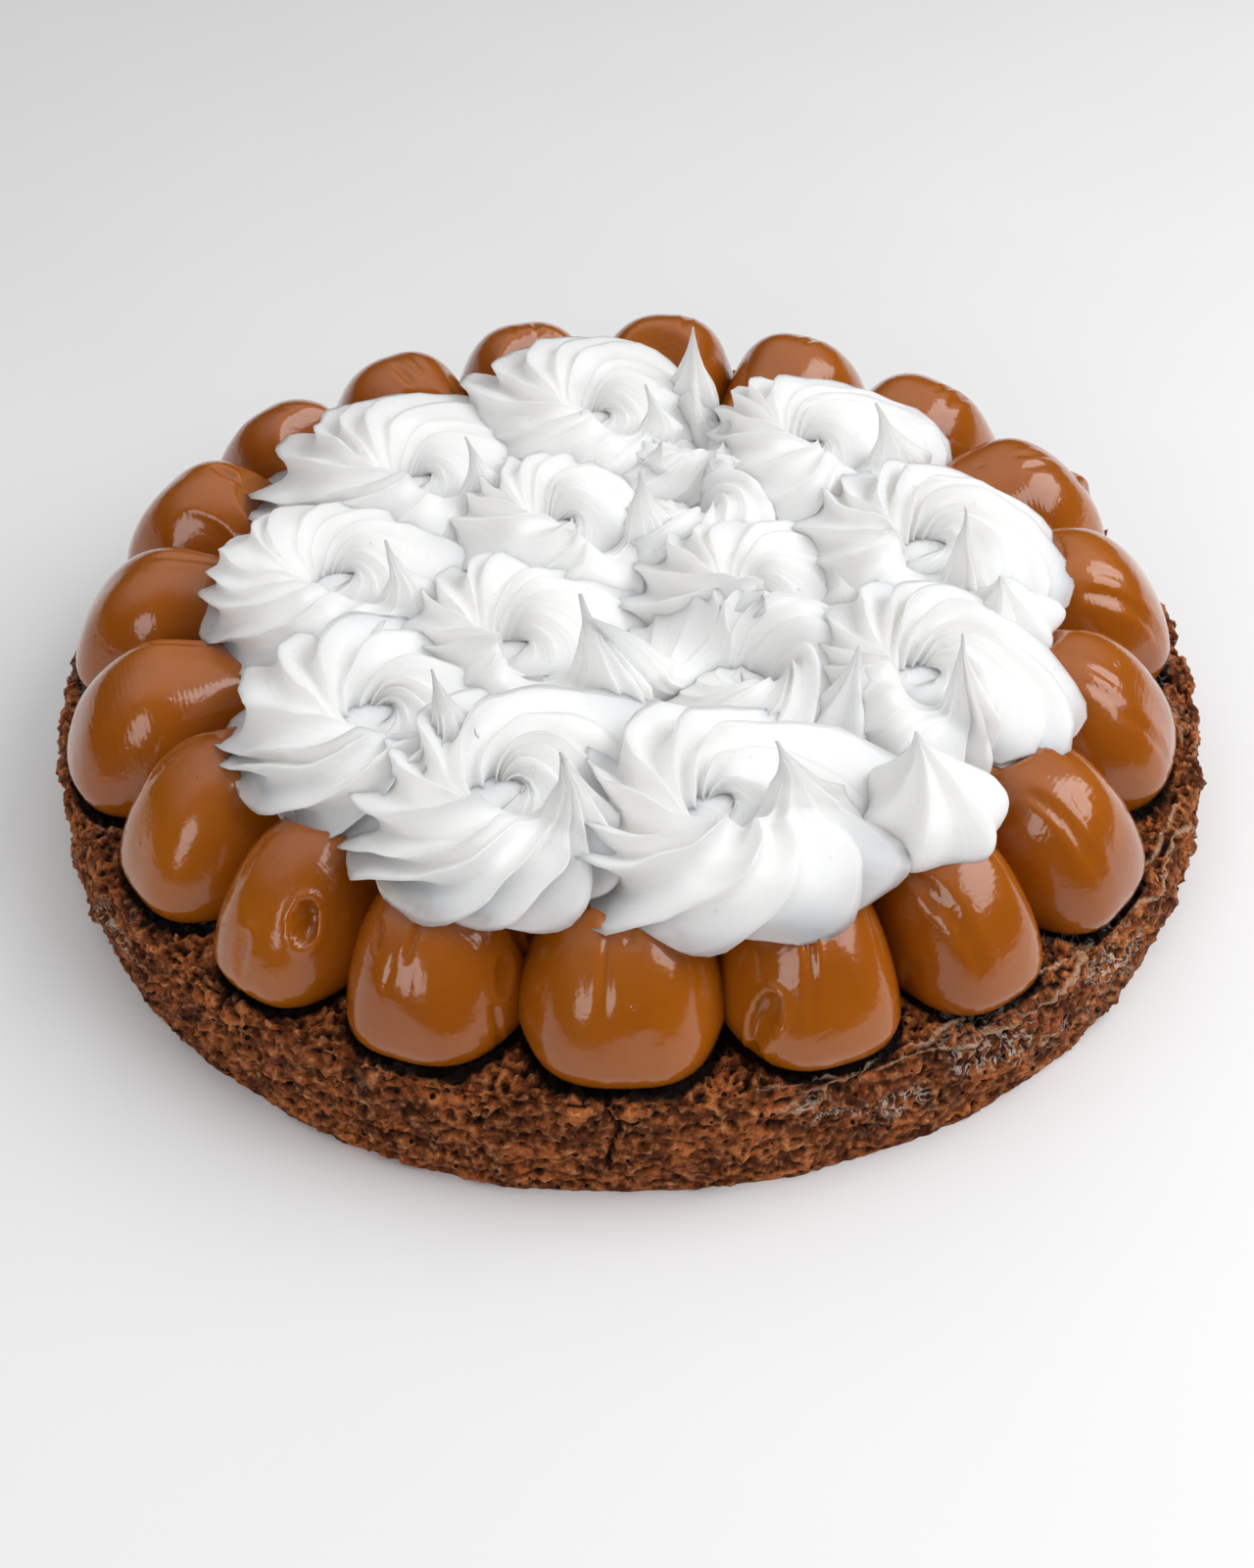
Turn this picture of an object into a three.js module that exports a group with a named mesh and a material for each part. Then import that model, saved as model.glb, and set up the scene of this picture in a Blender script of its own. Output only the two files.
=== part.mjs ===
import * as THREE from 'three';

// A round marquise cake, built the way it is made: a brownie disc, a ring of piped milk caramel
// mounds standing on it and meringue swirls piped over their inner ends.
// Millimetres, +Z up, front of the cake towards -Y, origin at the middle of the foot.

// Brownie disc
const BASE_RADIUS = 128.4;
const BASE_HEIGHT = 25.7;
const BASE_LEDGE_RADIUS = 124.9;
const BASE_COLUMNS = 108;
const BASE_RIM_CRUMB = 0.9;
const BASE_SIDE_CRUMB = 1.1;
// Height on the side as a share of the disc's height, with how far the side stands in there.
const BASE_SIDE_ROWS = [[0, 0.7], [0.16, 0.5], [0.4, 0.6], [0.64, 0.9], [0.86, 1.2], [1, 1.5]];

// Clearance left between pieces that rest on each other
const GAP = 0.3;

// Caramel under the middle of the meringue
const BED_RADIUS = 62.2;
const BED_TOP = 41.4;
const BED_COLUMNS = 38;
const BED_WAVE = 0.6;

// Ring of caramel mounds, piped by hand: its middle lies a little in front of the disc's middle
const RING_X = -0.5;
const RING_Y = -2;
const MOUND_INNER = 63.4;
const MOUND_CREST_BACK = 23.5;
const MOUND_HEIGHT = 28.6;
const MOUND_TAIL_SHARE = 0.58;
const MOUND_OVERFILL = 1.09;
const MOUND_FOOT_TUCK = 2.3;
const MOUND_BELLY_HEIGHT = 5.5;
const MOUND_HEAD_STEPS = 12;
const MOUND_SIDE_STEPS = 4;
const MOUND_LEVELS = [0.9, 0.7, 0.4];
const MOUND_APEX_RADIUS = 96;
// Direction of each mound in degrees and how far out its head reaches, from the front left on
const MOUNDS = [
  { direction: 248.4, outer: 122 },
  { direction: 269.5, outer: 121.8 },
  { direction: 289.1, outer: 123.5 },
  { direction: 305, outer: 125.5 },
  { direction: 320.2, outer: 126 },
  { direction: 340.8, outer: 121.5 },
  { direction: 361.5, outer: 122 },
  { direction: 383.5, outer: 122 },
  { direction: 403.4, outer: 122 },
  { direction: 424.1, outer: 121.5 },
  { direction: 442.8, outer: 123 },
  { direction: 463.8, outer: 122.5 },
  { direction: 482.3, outer: 122 },
  { direction: 502, outer: 123 },
  { direction: 518.6, outer: 124 },
  { direction: 538.3, outer: 123 },
  { direction: 556.8, outer: 123 },
  { direction: 576.2, outer: 121.5 },
  { direction: 593.4, outer: 122 },
];

// Piped swirls: place of the middle, outer reach, height of the foot there and of the rope's top,
// place and height of the pulled tip and turn of the nozzle's teeth in degrees. The outer ring
// comes first, from the front left counterclockwise, then the inner pieces.
const SWIRLS = [
  { x: -23, y: -76, reach: 33, foot: 49, top: 67, tip: [-14.2, -84.1, 75], teeth: 4 },
  { x: 18, y: -82, reach: 34, foot: 49.5, top: 68, tip: [25.7, -83.7, 76], teeth: 20 },
  { x: 60.5, y: -44, reach: 28.5, foot: 48.5, top: 67, tip: [63.5, -51.5, 76], teeth: 31 },
  { x: 67, y: 0.5, reach: 28, foot: 46, top: 66, tip: [70, -7.9, 75], teeth: 12 },
  { x: 45, y: 40, reach: 28.5, foot: 46.5, top: 66.5, tip: [55.6, 34.1, 74], teeth: 26 },
  { x: -4, y: 54.5, reach: 28.5, foot: 46, top: 65.5, tip: [5.4, 46.1, 73], teeth: 38 },
  { x: -45.5, y: 30, reach: 28.3, foot: 46, top: 65.5, tip: [-36.3, 24.3, 74], teeth: 9 },
  { x: -60.5, y: -8, reach: 31, foot: 46.5, top: 66, tip: [-51.2, -14.6, 74], teeth: 23 },
  { x: -48.5, y: -53, reach: 32, foot: 48, top: 67, tip: [-36.6, -62.3, 75], teeth: 35 },
  { x: -21.5, y: -27.5, reach: 27, foot: 42, top: 66, tip: [-12.6, -35.1, 76], teeth: 16 },
  { x: 25, y: -40.5, reach: 27, foot: 42, top: 65, tip: [5.6, -40.2, 72], teeth: 41 },
  { x: 29, y: -14, reach: 23, foot: 42, top: 66, tip: [39, -19.5, 68], teeth: 7 },
  { x: -13, y: 13.5, reach: 27, foot: 42, top: 65.5, tip: [1, 8.5, 74], teeth: 29 },
  { x: 14, y: 17.5, reach: 18, foot: 42, top: 63, tip: [10, 24.5, 68], teeth: 13 },
  { x: 15.5, y: 39.5, reach: 17, foot: 43, top: 62, tip: [16, 46.5, 67], teeth: 37 },
];
const SWIRL_TEETH = 8;
const SWIRL_STEPS_PER_TOOTH = 3;
const SWIRL_ROPE_SHARE = 0.5;
const SWIRL_FLUTE = 0.2;
const SWIRL_LOBE = 0.055;
const SWIRL_ROWS = [0.95, 0.78, 0.5, 0.12, -0.28, -0.6];
const SWIRL_BELLY = 6;
const SWIRL_TUCK = 0.93;
const SWIRL_EYE_SHARE = 0.5;
const SWIRL_BACK_DROP = 3.2;
const SWIRL_TIP_REACH_SHARE = 0.36;
const FOOT_SLOPE = 0.15;
const FOOT_SLOPE_FROM = 58;
// Swirls crowd each other: inside the cake they spread by this factor until they meet.
const CROWDING = 1.45;
const PRESS_MARGIN = 8;
const PRESS_RISE = 0.6;

// Small pulled drops between the swirls: lean is how far the tip stands off the middle.
const DROPS = [
  { x: 56.3, y: -82.5, reach: 14.8, foot: 52, tip: 77, lean: [-5, -1], teeth: 10 },
  { x: 43, y: -55, reach: 10, foot: 47, tip: 71, lean: [1.5, 3], teeth: 25 },
  { x: 79, y: -22.5, reach: 12.5, foot: 50.5, tip: 66, lean: [-2.5, -2], teeth: 5 },
  { x: 17, y: 63, reach: 9, foot: 46, tip: 74, lean: [0, -0.5], teeth: 18 },
];
const DROP_TEETH = 7;
const DROP_FLUTE = 0.2;
// Height share and width share of each ring of a drop, from the belly to below its tip.
const DROP_PROFILE = [[0.16, 1], [0.36, 0.84], [0.58, 0.5], [0.78, 0.22], [0.92, 0.08]];
const DROP_FOOT_TUCK = 0.88;

const COLOURS = {
  brownie: 0x3a2014,
  caramel: 0xa8642a,
  meringue: 0xf2efe9,
};

const cake = new THREE.Group();
cake.name = 'chocolate_marquise_cake';

// Closed solid from rings of equal count, lowest first, closed by a point below and one above
function ringSolid(rings, lowPole, highPole) {
  const count = rings[0].length;
  const positions = [];
  const indices = [];
  for (const ring of rings) {
    for (const point of ring) {
      positions.push(point.x, point.y, point.z);
    }
  }
  positions.push(lowPole.x, lowPole.y, lowPole.z);
  positions.push(highPole.x, highPole.y, highPole.z);
  const low = rings.length * count;
  const high = low + 1;
  for (let column = 0; column < count; column += 1) {
    const next = (column + 1) % count;
    indices.push(low, next, column);
    for (let row = 0; row < rings.length - 1; row += 1) {
      const a = row * count + column;
      const b = row * count + next;
      const c = (row + 1) * count + next;
      const d = (row + 1) * count + column;
      indices.push(a, b, d, b, c, d);
    }
    const lastRow = (rings.length - 1) * count;
    indices.push(lastRow + column, lastRow + next, high);
  }
  const geometry = new THREE.BufferGeometry();
  geometry.setAttribute('position', new THREE.Float32BufferAttribute(positions, 3));
  geometry.setIndex(indices);
  geometry.computeVertexNormals();
  return geometry;
}

function addPiece(name, geometry, colour, roughness) {
  const material = new THREE.MeshStandardMaterial({ color: colour, roughness, metalness: 0 });
  material.flatShading = true;
  const mesh = new THREE.Mesh(geometry, material);
  mesh.name = name;
  cake.add(mesh);
}

function numbered(name, index) {
  return `${name}_${String(index + 1).padStart(2, '0')}`;
}

function onCircle(radius, angle, z) {
  return new THREE.Vector3(radius * Math.cos(angle), radius * Math.sin(angle), z);
}

// Uneven baked crumb: a few waves of unlike length, between -1 and 1
function crumb(angle, row) {
  const broad = Math.sin(7 * angle + 1.9 * row);
  const middle = Math.sin(23 * angle - 2.7 * row + 0.8);
  const fine = Math.sin(41 * angle + 4.3 * row + 2.1);
  return 0.3 * broad + 0.35 * middle + 0.35 * fine;
}

// Brownie disc with a crumbled side and a raised broken rim
function brownieGeometry() {
  const rings = BASE_SIDE_ROWS.map(([share, inset], row) => {
    const ring = [];
    for (let column = 0; column < BASE_COLUMNS; column += 1) {
      const angle = (column / BASE_COLUMNS) * 2 * Math.PI;
      const rough = crumb(angle, row);
      const radius = BASE_RADIUS - inset + (row > 0 ? BASE_SIDE_CRUMB * rough : 0);
      const isRim = row === BASE_SIDE_ROWS.length - 1;
      const z = share * BASE_HEIGHT + (isRim ? BASE_RIM_CRUMB * (0.6 + crumb(angle, 9)) : 0);
      ring.push(onCircle(radius, angle, z));
    }
    return ring;
  });
  const ledge = [];
  for (let column = 0; column < BASE_COLUMNS; column += 1) {
    const angle = (column / BASE_COLUMNS) * 2 * Math.PI;
    ledge.push(onCircle(BASE_LEDGE_RADIUS, angle, BASE_HEIGHT));
  }
  rings.push(ledge);
  return ringSolid(rings, new THREE.Vector3(0, 0, 0), new THREE.Vector3(0, 0, BASE_HEIGHT));
}

// Flat underside of a meringue piece: level near the middle of the cake, rising towards its edge
function footHeight(piece, x, y) {
  const out = Math.hypot(piece.x, piece.y);
  if (out < FOOT_SLOPE_FROM) {
    return piece.foot;
  }
  const along = ((x - piece.x) * piece.x + (y - piece.y) * piece.y) / out;
  return piece.foot + FOOT_SLOPE * along;
}

const TOPPINGS = [...SWIRLS, ...DROPS];

// How much wider than its own reach a piece spreads: not at all towards the cake's edge
function spread(piece, angle) {
  const out = Math.hypot(piece.x, piece.y);
  if (out < FOOT_SLOPE_FROM) {
    return CROWDING;
  }
  const outward = (Math.cos(angle) * piece.x + Math.sin(angle) * piece.y) / out;
  return CROWDING + (1 - CROWDING) * Math.min(1, Math.max(0, outward + 0.85));
}

// Caramel is pressed down where meringue lies on it and rises again beyond it
function pressed(x, y, z) {
  let height = z;
  for (const piece of TOPPINGS) {
    const angle = Math.atan2(y - piece.y, x - piece.x);
    const edge = piece.reach * spread(piece, angle) + PRESS_MARGIN;
    const beyond = Math.hypot(x - piece.x, y - piece.y) - edge;
    const rise = PRESS_RISE * Math.max(0, beyond);
    height = Math.min(height, footHeight(piece, x, y) - GAP + rise);
  }
  return height;
}

function onBed(radius, angle, z) {
  const point = onCircle(radius, angle, z);
  point.x += RING_X;
  point.y += RING_Y;
  return point;
}

function bedGeometry() {
  const low = [];
  const high = [];
  for (let column = 0; column < BED_COLUMNS; column += 1) {
    const angle = (column / BED_COLUMNS) * 2 * Math.PI;
    const radius = BED_RADIUS - BED_WAVE * (1 + Math.sin(MOUNDS.length * angle));
    low.push(onBed(radius, angle, BASE_HEIGHT + GAP));
    high.push(onBed(radius, angle, BED_TOP));
  }
  return ringSolid(
    [low, high],
    new THREE.Vector3(0, 0, BASE_HEIGHT + GAP),
    new THREE.Vector3(0, 0, BED_TOP),
  );
}

// Half of the angle between two neighbouring mounds
function halfStep(index, side) {
  const here = MOUNDS[index].direction;
  const last = MOUNDS.length - 1;
  if (side > 0) {
    const next = index === last ? MOUNDS[0].direction + 360 : MOUNDS[index + 1].direction;
    return THREE.MathUtils.degToRad(next - here) / 2;
  }
  const before = index === 0 ? MOUNDS[last].direction - 360 : MOUNDS[index - 1].direction;
  return THREE.MathUtils.degToRad(here - before) / 2;
}

// Half width of a mound's share of the ring on one side, less half the clearance
function sectorHalfWidth(index, side, out) {
  const half = halfStep(index, side);
  return out * Math.tan(half) - GAP / 2 / Math.cos(half);
}

// Top of a mound above the disc, from the distance out and the distance to the side
function moundTop(index, out, side) {
  const outer = MOUNDS[index].outer;
  const crestOut = outer - MOUND_CREST_BACK;
  const half = out * Math.tan(halfStep(index, side)) * MOUND_OVERFILL;
  const past = Math.max(0, out - crestOut) / MOUND_CREST_BACK;
  const across = side / half;
  const round = Math.sqrt(Math.max(0.03, 1 - across * across - past * past));
  const inward = Math.max(0, crestOut - out) / (crestOut - MOUND_INNER);
  const crest = 1 - (1 - MOUND_TAIL_SHARE) * inward ** 1.3;
  return MOUND_HEIGHT * crest * round;
}

// Outline of a mound in distance out and to the side: a round head and a tail between neighbours
function moundOutline(index) {
  const outer = MOUNDS[index].outer;
  const headHalf = (right) => sectorHalfWidth(index, right, outer - 17);
  const headOut = outer - (headHalf(1) + headHalf(-1)) / 2;
  const outline = [];
  for (let step = 0; step <= MOUND_HEAD_STEPS; step += 1) {
    const angle = -Math.PI / 2 + (Math.PI * step) / MOUND_HEAD_STEPS;
    const facing = angle < 0 ? -1 : 1;
    const out = headOut + (outer - headOut) * Math.cos(angle);
    const side = headHalf(facing) * Math.sin(angle);
    const limit = sectorHalfWidth(index, facing, out);
    outline.push([out, Math.max(-limit, Math.min(limit, side))]);
  }
  for (let step = 1; step <= MOUND_SIDE_STEPS; step += 1) {
    const out = headOut + ((MOUND_INNER - headOut) * step) / MOUND_SIDE_STEPS;
    outline.push([out, sectorHalfWidth(index, 1, out)]);
  }
  outline.push([MOUND_INNER, 0]);
  for (let step = MOUND_SIDE_STEPS; step >= 1; step -= 1) {
    const out = headOut + ((MOUND_INNER - headOut) * step) / MOUND_SIDE_STEPS;
    outline.push([out, -sectorHalfWidth(index, -1, out)]);
  }
  return outline;
}

function moundGeometry(index) {
  const outline = moundOutline(index);
  const direction = THREE.MathUtils.degToRad(MOUNDS[index].direction);
  const place = (out, side, z) => {
    const x = RING_X + out * Math.cos(direction) - side * Math.sin(direction);
    const y = RING_Y + out * Math.sin(direction) + side * Math.cos(direction);
    return new THREE.Vector3(x, y, z);
  };
  const floor = BASE_HEIGHT + GAP;
  const shrunk = (share) => outline.map(([out, side]) => [
    MOUND_APEX_RADIUS + (out - MOUND_APEX_RADIUS) * share,
    side * share,
  ]);
  const tuck = 1 - MOUND_FOOT_TUCK / (MOUNDS[index].outer - MOUND_APEX_RADIUS);
  const rings = [
    shrunk(tuck).map(([out, side]) => place(out, side, floor)),
    outline.map(([out, side]) => place(out, side, floor + MOUND_BELLY_HEIGHT)),
  ];
  const covered = (out, side) => {
    const point = place(out, side, floor + moundTop(index, out, side));
    point.z = pressed(point.x, point.y, point.z);
    return point;
  };
  for (const share of MOUND_LEVELS) {
    rings.push(shrunk(share).map(([out, side]) => covered(out, side)));
  }
  return ringSolid(rings, place(MOUND_APEX_RADIUS, 0, floor), covered(MOUND_APEX_RADIUS, 0));
}

// How far a meringue piece may reach in a direction before it meets a neighbour
function roomFor(piece, angle) {
  let room = Infinity;
  for (const other of TOPPINGS) {
    if (other === piece) {
      continue;
    }
    const dx = other.x - piece.x;
    const dy = other.y - piece.y;
    const distance = Math.hypot(dx, dy);
    const border = (distance * piece.reach) / (piece.reach + other.reach) - GAP / 2;
    const facing = (dx * Math.cos(angle) + dy * Math.sin(angle)) / distance;
    if (facing > 0) {
      room = Math.min(room, border / facing);
    }
  }
  return room;
}

// Depth between two teeth marks, 0 on a crest and 1 midway
function fluteDepth(angle, teeth, turn) {
  const place = ((angle - turn) * teeth) / (2 * Math.PI);
  const fraction = place - Math.floor(place);
  return 1 - Math.abs(2 * fraction - 1) ** 1.6;
}

// Swirl laid in one turn by a star nozzle that keeps its heading, so that each crest starts
// at the outer edge and winds over the rope into the eye.
function swirlGeometry(swirl) {
  const columns = SWIRL_TEETH * SWIRL_STEPS_PER_TOOTH;
  const turn = THREE.MathUtils.degToRad(swirl.teeth);
  const pull = Math.atan2(swirl.tip[1] - swirl.y, swirl.tip[0] - swirl.x);
  const ropeRadius = swirl.reach * SWIRL_ROPE_SHARE;
  const ringRadius = swirl.reach - ropeRadius;
  const lobed = (angle) => 1 - SWIRL_LOBE * fluteDepth(angle, SWIRL_TEETH, turn);
  const place = (radius, angle, rise) => {
    const outline = swirl.reach * lobed(angle);
    const squeeze = Math.min(spread(swirl, angle), roomFor(swirl, angle) / outline);
    const x = swirl.x + Math.min(radius, outline) * squeeze * Math.cos(angle);
    const y = swirl.y + Math.min(radius, outline) * squeeze * Math.sin(angle);
    return new THREE.Vector3(x, y, footHeight(swirl, x, y) + rise);
  };
  const ropeRise = (angle, offset, heading) => {
    const sinceTip = (((angle - pull) / (2 * Math.PI)) % 1 + 1) % 1;
    const full = swirl.top - swirl.foot - SWIRL_BACK_DROP * (1 - sinceTip);
    const arch = Math.sqrt(1 - offset * offset);
    const flute = 1 - SWIRL_FLUTE * fluteDepth(heading, SWIRL_TEETH, turn);
    return SWIRL_BELLY + (full - SWIRL_BELLY) * arch * flute;
  };
  const foot = [];
  const belly = [];
  for (let column = 0; column < columns; column += 1) {
    const angle = turn + (column / columns) * 2 * Math.PI;
    const radius = swirl.reach * lobed(angle);
    foot.push(place(radius * SWIRL_TUCK, angle, 0));
    belly.push(place(radius, angle, SWIRL_BELLY));
  }
  const rings = [foot, belly];
  for (const offset of SWIRL_ROWS) {
    const ring = [];
    const swing = Math.acos(offset);
    for (let column = 0; column < columns; column += 1) {
      const heading = turn + (column / columns) * 2 * Math.PI;
      const angle = heading + swing;
      const radius = ringRadius + ropeRadius * offset;
      ring.push(place(radius, angle, ropeRise(angle, offset, heading)));
    }
    rings.push(ring);
  }
  raiseTip(rings, new THREE.Vector3(...swirl.tip), swirl.reach * SWIRL_TIP_REACH_SHARE);
  const eyeRise = (swirl.top - swirl.foot) * SWIRL_EYE_SHARE;
  return ringSolid(rings, place(0, 0, 0), place(0, 0, eyeRise));
}

// Pulls the surface near the last touch of the nozzle up into a pointed tip
function raiseTip(rings, tip, reach) {
  let nearest = null;
  let shortest = Infinity;
  for (const ring of rings.slice(2)) {
    for (const point of ring) {
      const distance = Math.hypot(point.x - tip.x, point.y - tip.y);
      if (distance < shortest) {
        shortest = distance;
        nearest = point;
      }
      if (distance < reach) {
        const share = (1 - distance / reach) ** 1.5;
        point.z = Math.max(point.z, point.z + (tip.z - point.z) * share);
      }
    }
  }
  nearest.copy(tip);
}

// Drop piped straight down and pulled off, with the nozzle's teeth running up to its tip
function dropGeometry(drop) {
  const columns = DROP_TEETH * 2;
  const turn = THREE.MathUtils.degToRad(drop.teeth);
  const ringAt = (heightShare, widthShare) => {
    const ring = [];
    for (let column = 0; column < columns; column += 1) {
      const angle = turn + (column / columns) * 2 * Math.PI;
      const flute = 1 - DROP_FLUTE * (column % 2);
      const radius = Math.min(drop.reach * flute, roomFor(drop, angle)) * widthShare;
      const lean = heightShare ** 2;
      const x = drop.x + radius * Math.cos(angle) + drop.lean[0] * lean;
      const y = drop.y + radius * Math.sin(angle) + drop.lean[1] * lean;
      const base = footHeight(drop, x, y);
      ring.push(new THREE.Vector3(x, y, base + (drop.tip - base) * heightShare));
    }
    return ring;
  };
  const rings = [ringAt(0, DROP_FOOT_TUCK)];
  for (const [heightShare, widthShare] of DROP_PROFILE) {
    rings.push(ringAt(heightShare, widthShare));
  }
  const lowPole = new THREE.Vector3(drop.x, drop.y, drop.foot);
  const tip = new THREE.Vector3(drop.x + drop.lean[0], drop.y + drop.lean[1], drop.tip);
  return ringSolid(rings, lowPole, tip);
}

addPiece('brownie_base', brownieGeometry(), COLOURS.brownie, 0.9);
addPiece('caramel_bed', bedGeometry(), COLOURS.caramel, 0.4);
for (let index = 0; index < MOUNDS.length; index += 1) {
  addPiece(numbered('caramel_mound', index), moundGeometry(index), COLOURS.caramel, 0.3);
}
SWIRLS.forEach((swirl, index) => {
  addPiece(numbered('meringue_swirl', index), swirlGeometry(swirl), COLOURS.meringue, 0.6);
});
DROPS.forEach((drop, index) => {
  addPiece(numbered('meringue_drop', index), dropGeometry(drop), COLOURS.meringue, 0.6);
});

export default cake;
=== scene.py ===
"""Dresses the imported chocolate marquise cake: a crumbly brownie disc, a ring of glossy milk caramel
mounds standing on it and meringue swirls piped over their inner ends.

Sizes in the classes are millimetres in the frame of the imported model. Finishes, lamps and the
floor use metres.
"""

import logging
import math
from dataclasses import dataclass, field
from enum import Enum

import bpy
import numpy as np
from mathutils import Matrix, Vector


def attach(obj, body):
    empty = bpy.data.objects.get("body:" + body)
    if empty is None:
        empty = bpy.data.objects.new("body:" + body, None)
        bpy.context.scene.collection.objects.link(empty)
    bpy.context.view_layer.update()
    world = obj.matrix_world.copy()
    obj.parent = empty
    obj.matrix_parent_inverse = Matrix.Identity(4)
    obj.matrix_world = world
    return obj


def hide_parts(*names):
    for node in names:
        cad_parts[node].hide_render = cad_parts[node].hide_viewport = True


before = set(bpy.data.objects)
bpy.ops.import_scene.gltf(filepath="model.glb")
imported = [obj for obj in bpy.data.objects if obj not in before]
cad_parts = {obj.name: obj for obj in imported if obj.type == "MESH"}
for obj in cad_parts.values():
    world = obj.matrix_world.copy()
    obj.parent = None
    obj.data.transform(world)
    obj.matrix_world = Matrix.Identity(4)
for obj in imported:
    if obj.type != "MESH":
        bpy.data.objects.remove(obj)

log = logging.getLogger("cake")

MM = 0.001
BODY = "root"
FAR = 1e3
UPRIGHT = np.array([0.0, 0.0, 1.0])

Array = np.ndarray
Pair = tuple[float, float]
Triple = tuple[float, float, float]
Socket = bpy.types.NodeSocket


# Shared shape tools


def eased(share: Array | float) -> Array | float:
    """Slow start and slow end between 0 and 1."""
    part = np.clip(share, 0.0, 1.0)
    return part * part * (3.0 - 2.0 * part)


def bell(distance: Array, width: float) -> Array:
    """1 where the distance is 0, and fading out within about two widths of there."""
    return np.exp(-((distance / width) ** 2))


def soft_min(first: Array, second: Array, width: float) -> Array:
    """The smaller of two values with a change between them that is rounded over a width."""
    blend = np.clip(0.5 + 0.5 * (second - first) / width, 0.0, 1.0)
    return second + (first - second) * blend - width * blend * (1.0 - blend)


def ring_points(out: Array | float, angle: Array, height: Array | float) -> Array:
    """Points from their distance out, their direction in radians and their height."""
    return np.stack(np.broadcast_arrays(out * np.cos(angle), out * np.sin(angle), height), axis=-1)


def turned(x: Array, y: Array, angle: float) -> tuple[Array, Array]:
    """The same places along axes that are turned counterclockwise by an angle in radians."""
    return x * math.cos(angle) + y * math.sin(angle), y * math.cos(angle) - x * math.sin(angle)


def turn_from(angle: Array, degrees: float) -> Array:
    """Size of the turn between directions in radians and one in degrees."""
    return np.abs(np.angle(np.exp(1j * (angle - math.radians(degrees)))))


class LatticeNoise:
    """Smooth repeatable noise in space, made from random values on a lattice."""

    SIZE = 64
    LAYER_SHIFT = 17.3
    FADE = 0.5
    GAIN = 1.6

    def __init__(self, seed: int) -> None:
        """Fills the lattice with the pattern that a seed picks."""
        self.values = np.random.default_rng(seed).uniform(-1.0, 1.0, (self.SIZE,) * 3)

    def at(self, points: Array, grain: float) -> Array:
        """Reads the noise.

        Args:
            points: places, one row each.
            grain: distance between two lattice values, in the points' unit.

        Returns:
            One value from -1 to 1 for each point.
        """
        scaled = points / grain
        low = np.floor(scaled).astype(int)
        part = eased(scaled - low)
        total = np.zeros(len(points))
        for corner in range(8):
            step = np.array([corner & 1, (corner >> 1) & 1, (corner >> 2) & 1])
            index = (low + step) % self.SIZE
            weight = np.prod(np.where(step == 1, part, 1.0 - part), axis=1)
            total += weight * self.values[index[:, 0], index[:, 1], index[:, 2]]
        return total

    def vectors(self, points: Array, grain: float, shifts: Triple) -> Array:
        """Three values for each point, read at places that are shifted by one of three amounts."""
        return np.stack([self.at(points + shift, grain) for shift in shifts], axis=1)

    def layered(self, points: Array, grain: float, layers: int) -> Array:
        """Adds finer and weaker layers of the noise.

        Args:
            points: places, one row each.
            grain: lattice distance of the broadest layer.
            layers: how many layers.

        Returns:
            One value for each point, about -1 to 1.
        """
        strengths = self.FADE ** np.arange(layers)
        total = np.zeros(len(points))
        for layer, strength in enumerate(strengths):
            total += strength * self.at(points + self.LAYER_SHIFT * layer, grain / 2.0**layer)
        return total / strengths.sum() * self.GAIN


class Pits:
    """Round pits scattered in space: one random middle in each cell of a lattice."""

    SIZE = 48
    SMALLEST = 0.45

    def __init__(self, seed: int) -> None:
        """Scatters the middles in the pattern that a seed picks."""
        self.middles = np.random.default_rng(seed).uniform(0.0, 1.0, (self.SIZE,) * 3 + (4,))

    def depth(self, points: Array, cell: float, share: float, radius: float) -> Array:
        """Depth of the pits.

        Args:
            points: places, one row each.
            cell: size of a lattice cell.
            share: share of the cells that hold a pit.
            radius: largest radius of a pit.

        Returns:
            0 outside the pits and up to 1 at their middles.
        """
        scaled = points / cell
        home = np.floor(scaled).astype(int)
        deepest = np.zeros(len(points))
        for corner in range(27):
            step = np.array([corner % 3, (corner // 3) % 3, corner // 9]) - 1
            index = (home + step) % self.SIZE
            middle = self.middles[index[:, 0], index[:, 1], index[:, 2]]
            size = radius * (self.SMALLEST + (1 - self.SMALLEST) * middle[:, 3] / share)
            away = np.linalg.norm(scaled - (home + step + middle[:, :3]), axis=1) * cell
            inside = np.clip(1.0 - away / size, 0.0, 1.0)
            deepest = np.maximum(deepest, np.where(middle[:, 3] < share, inside, 0.0))
        return eased(deepest)


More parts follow.
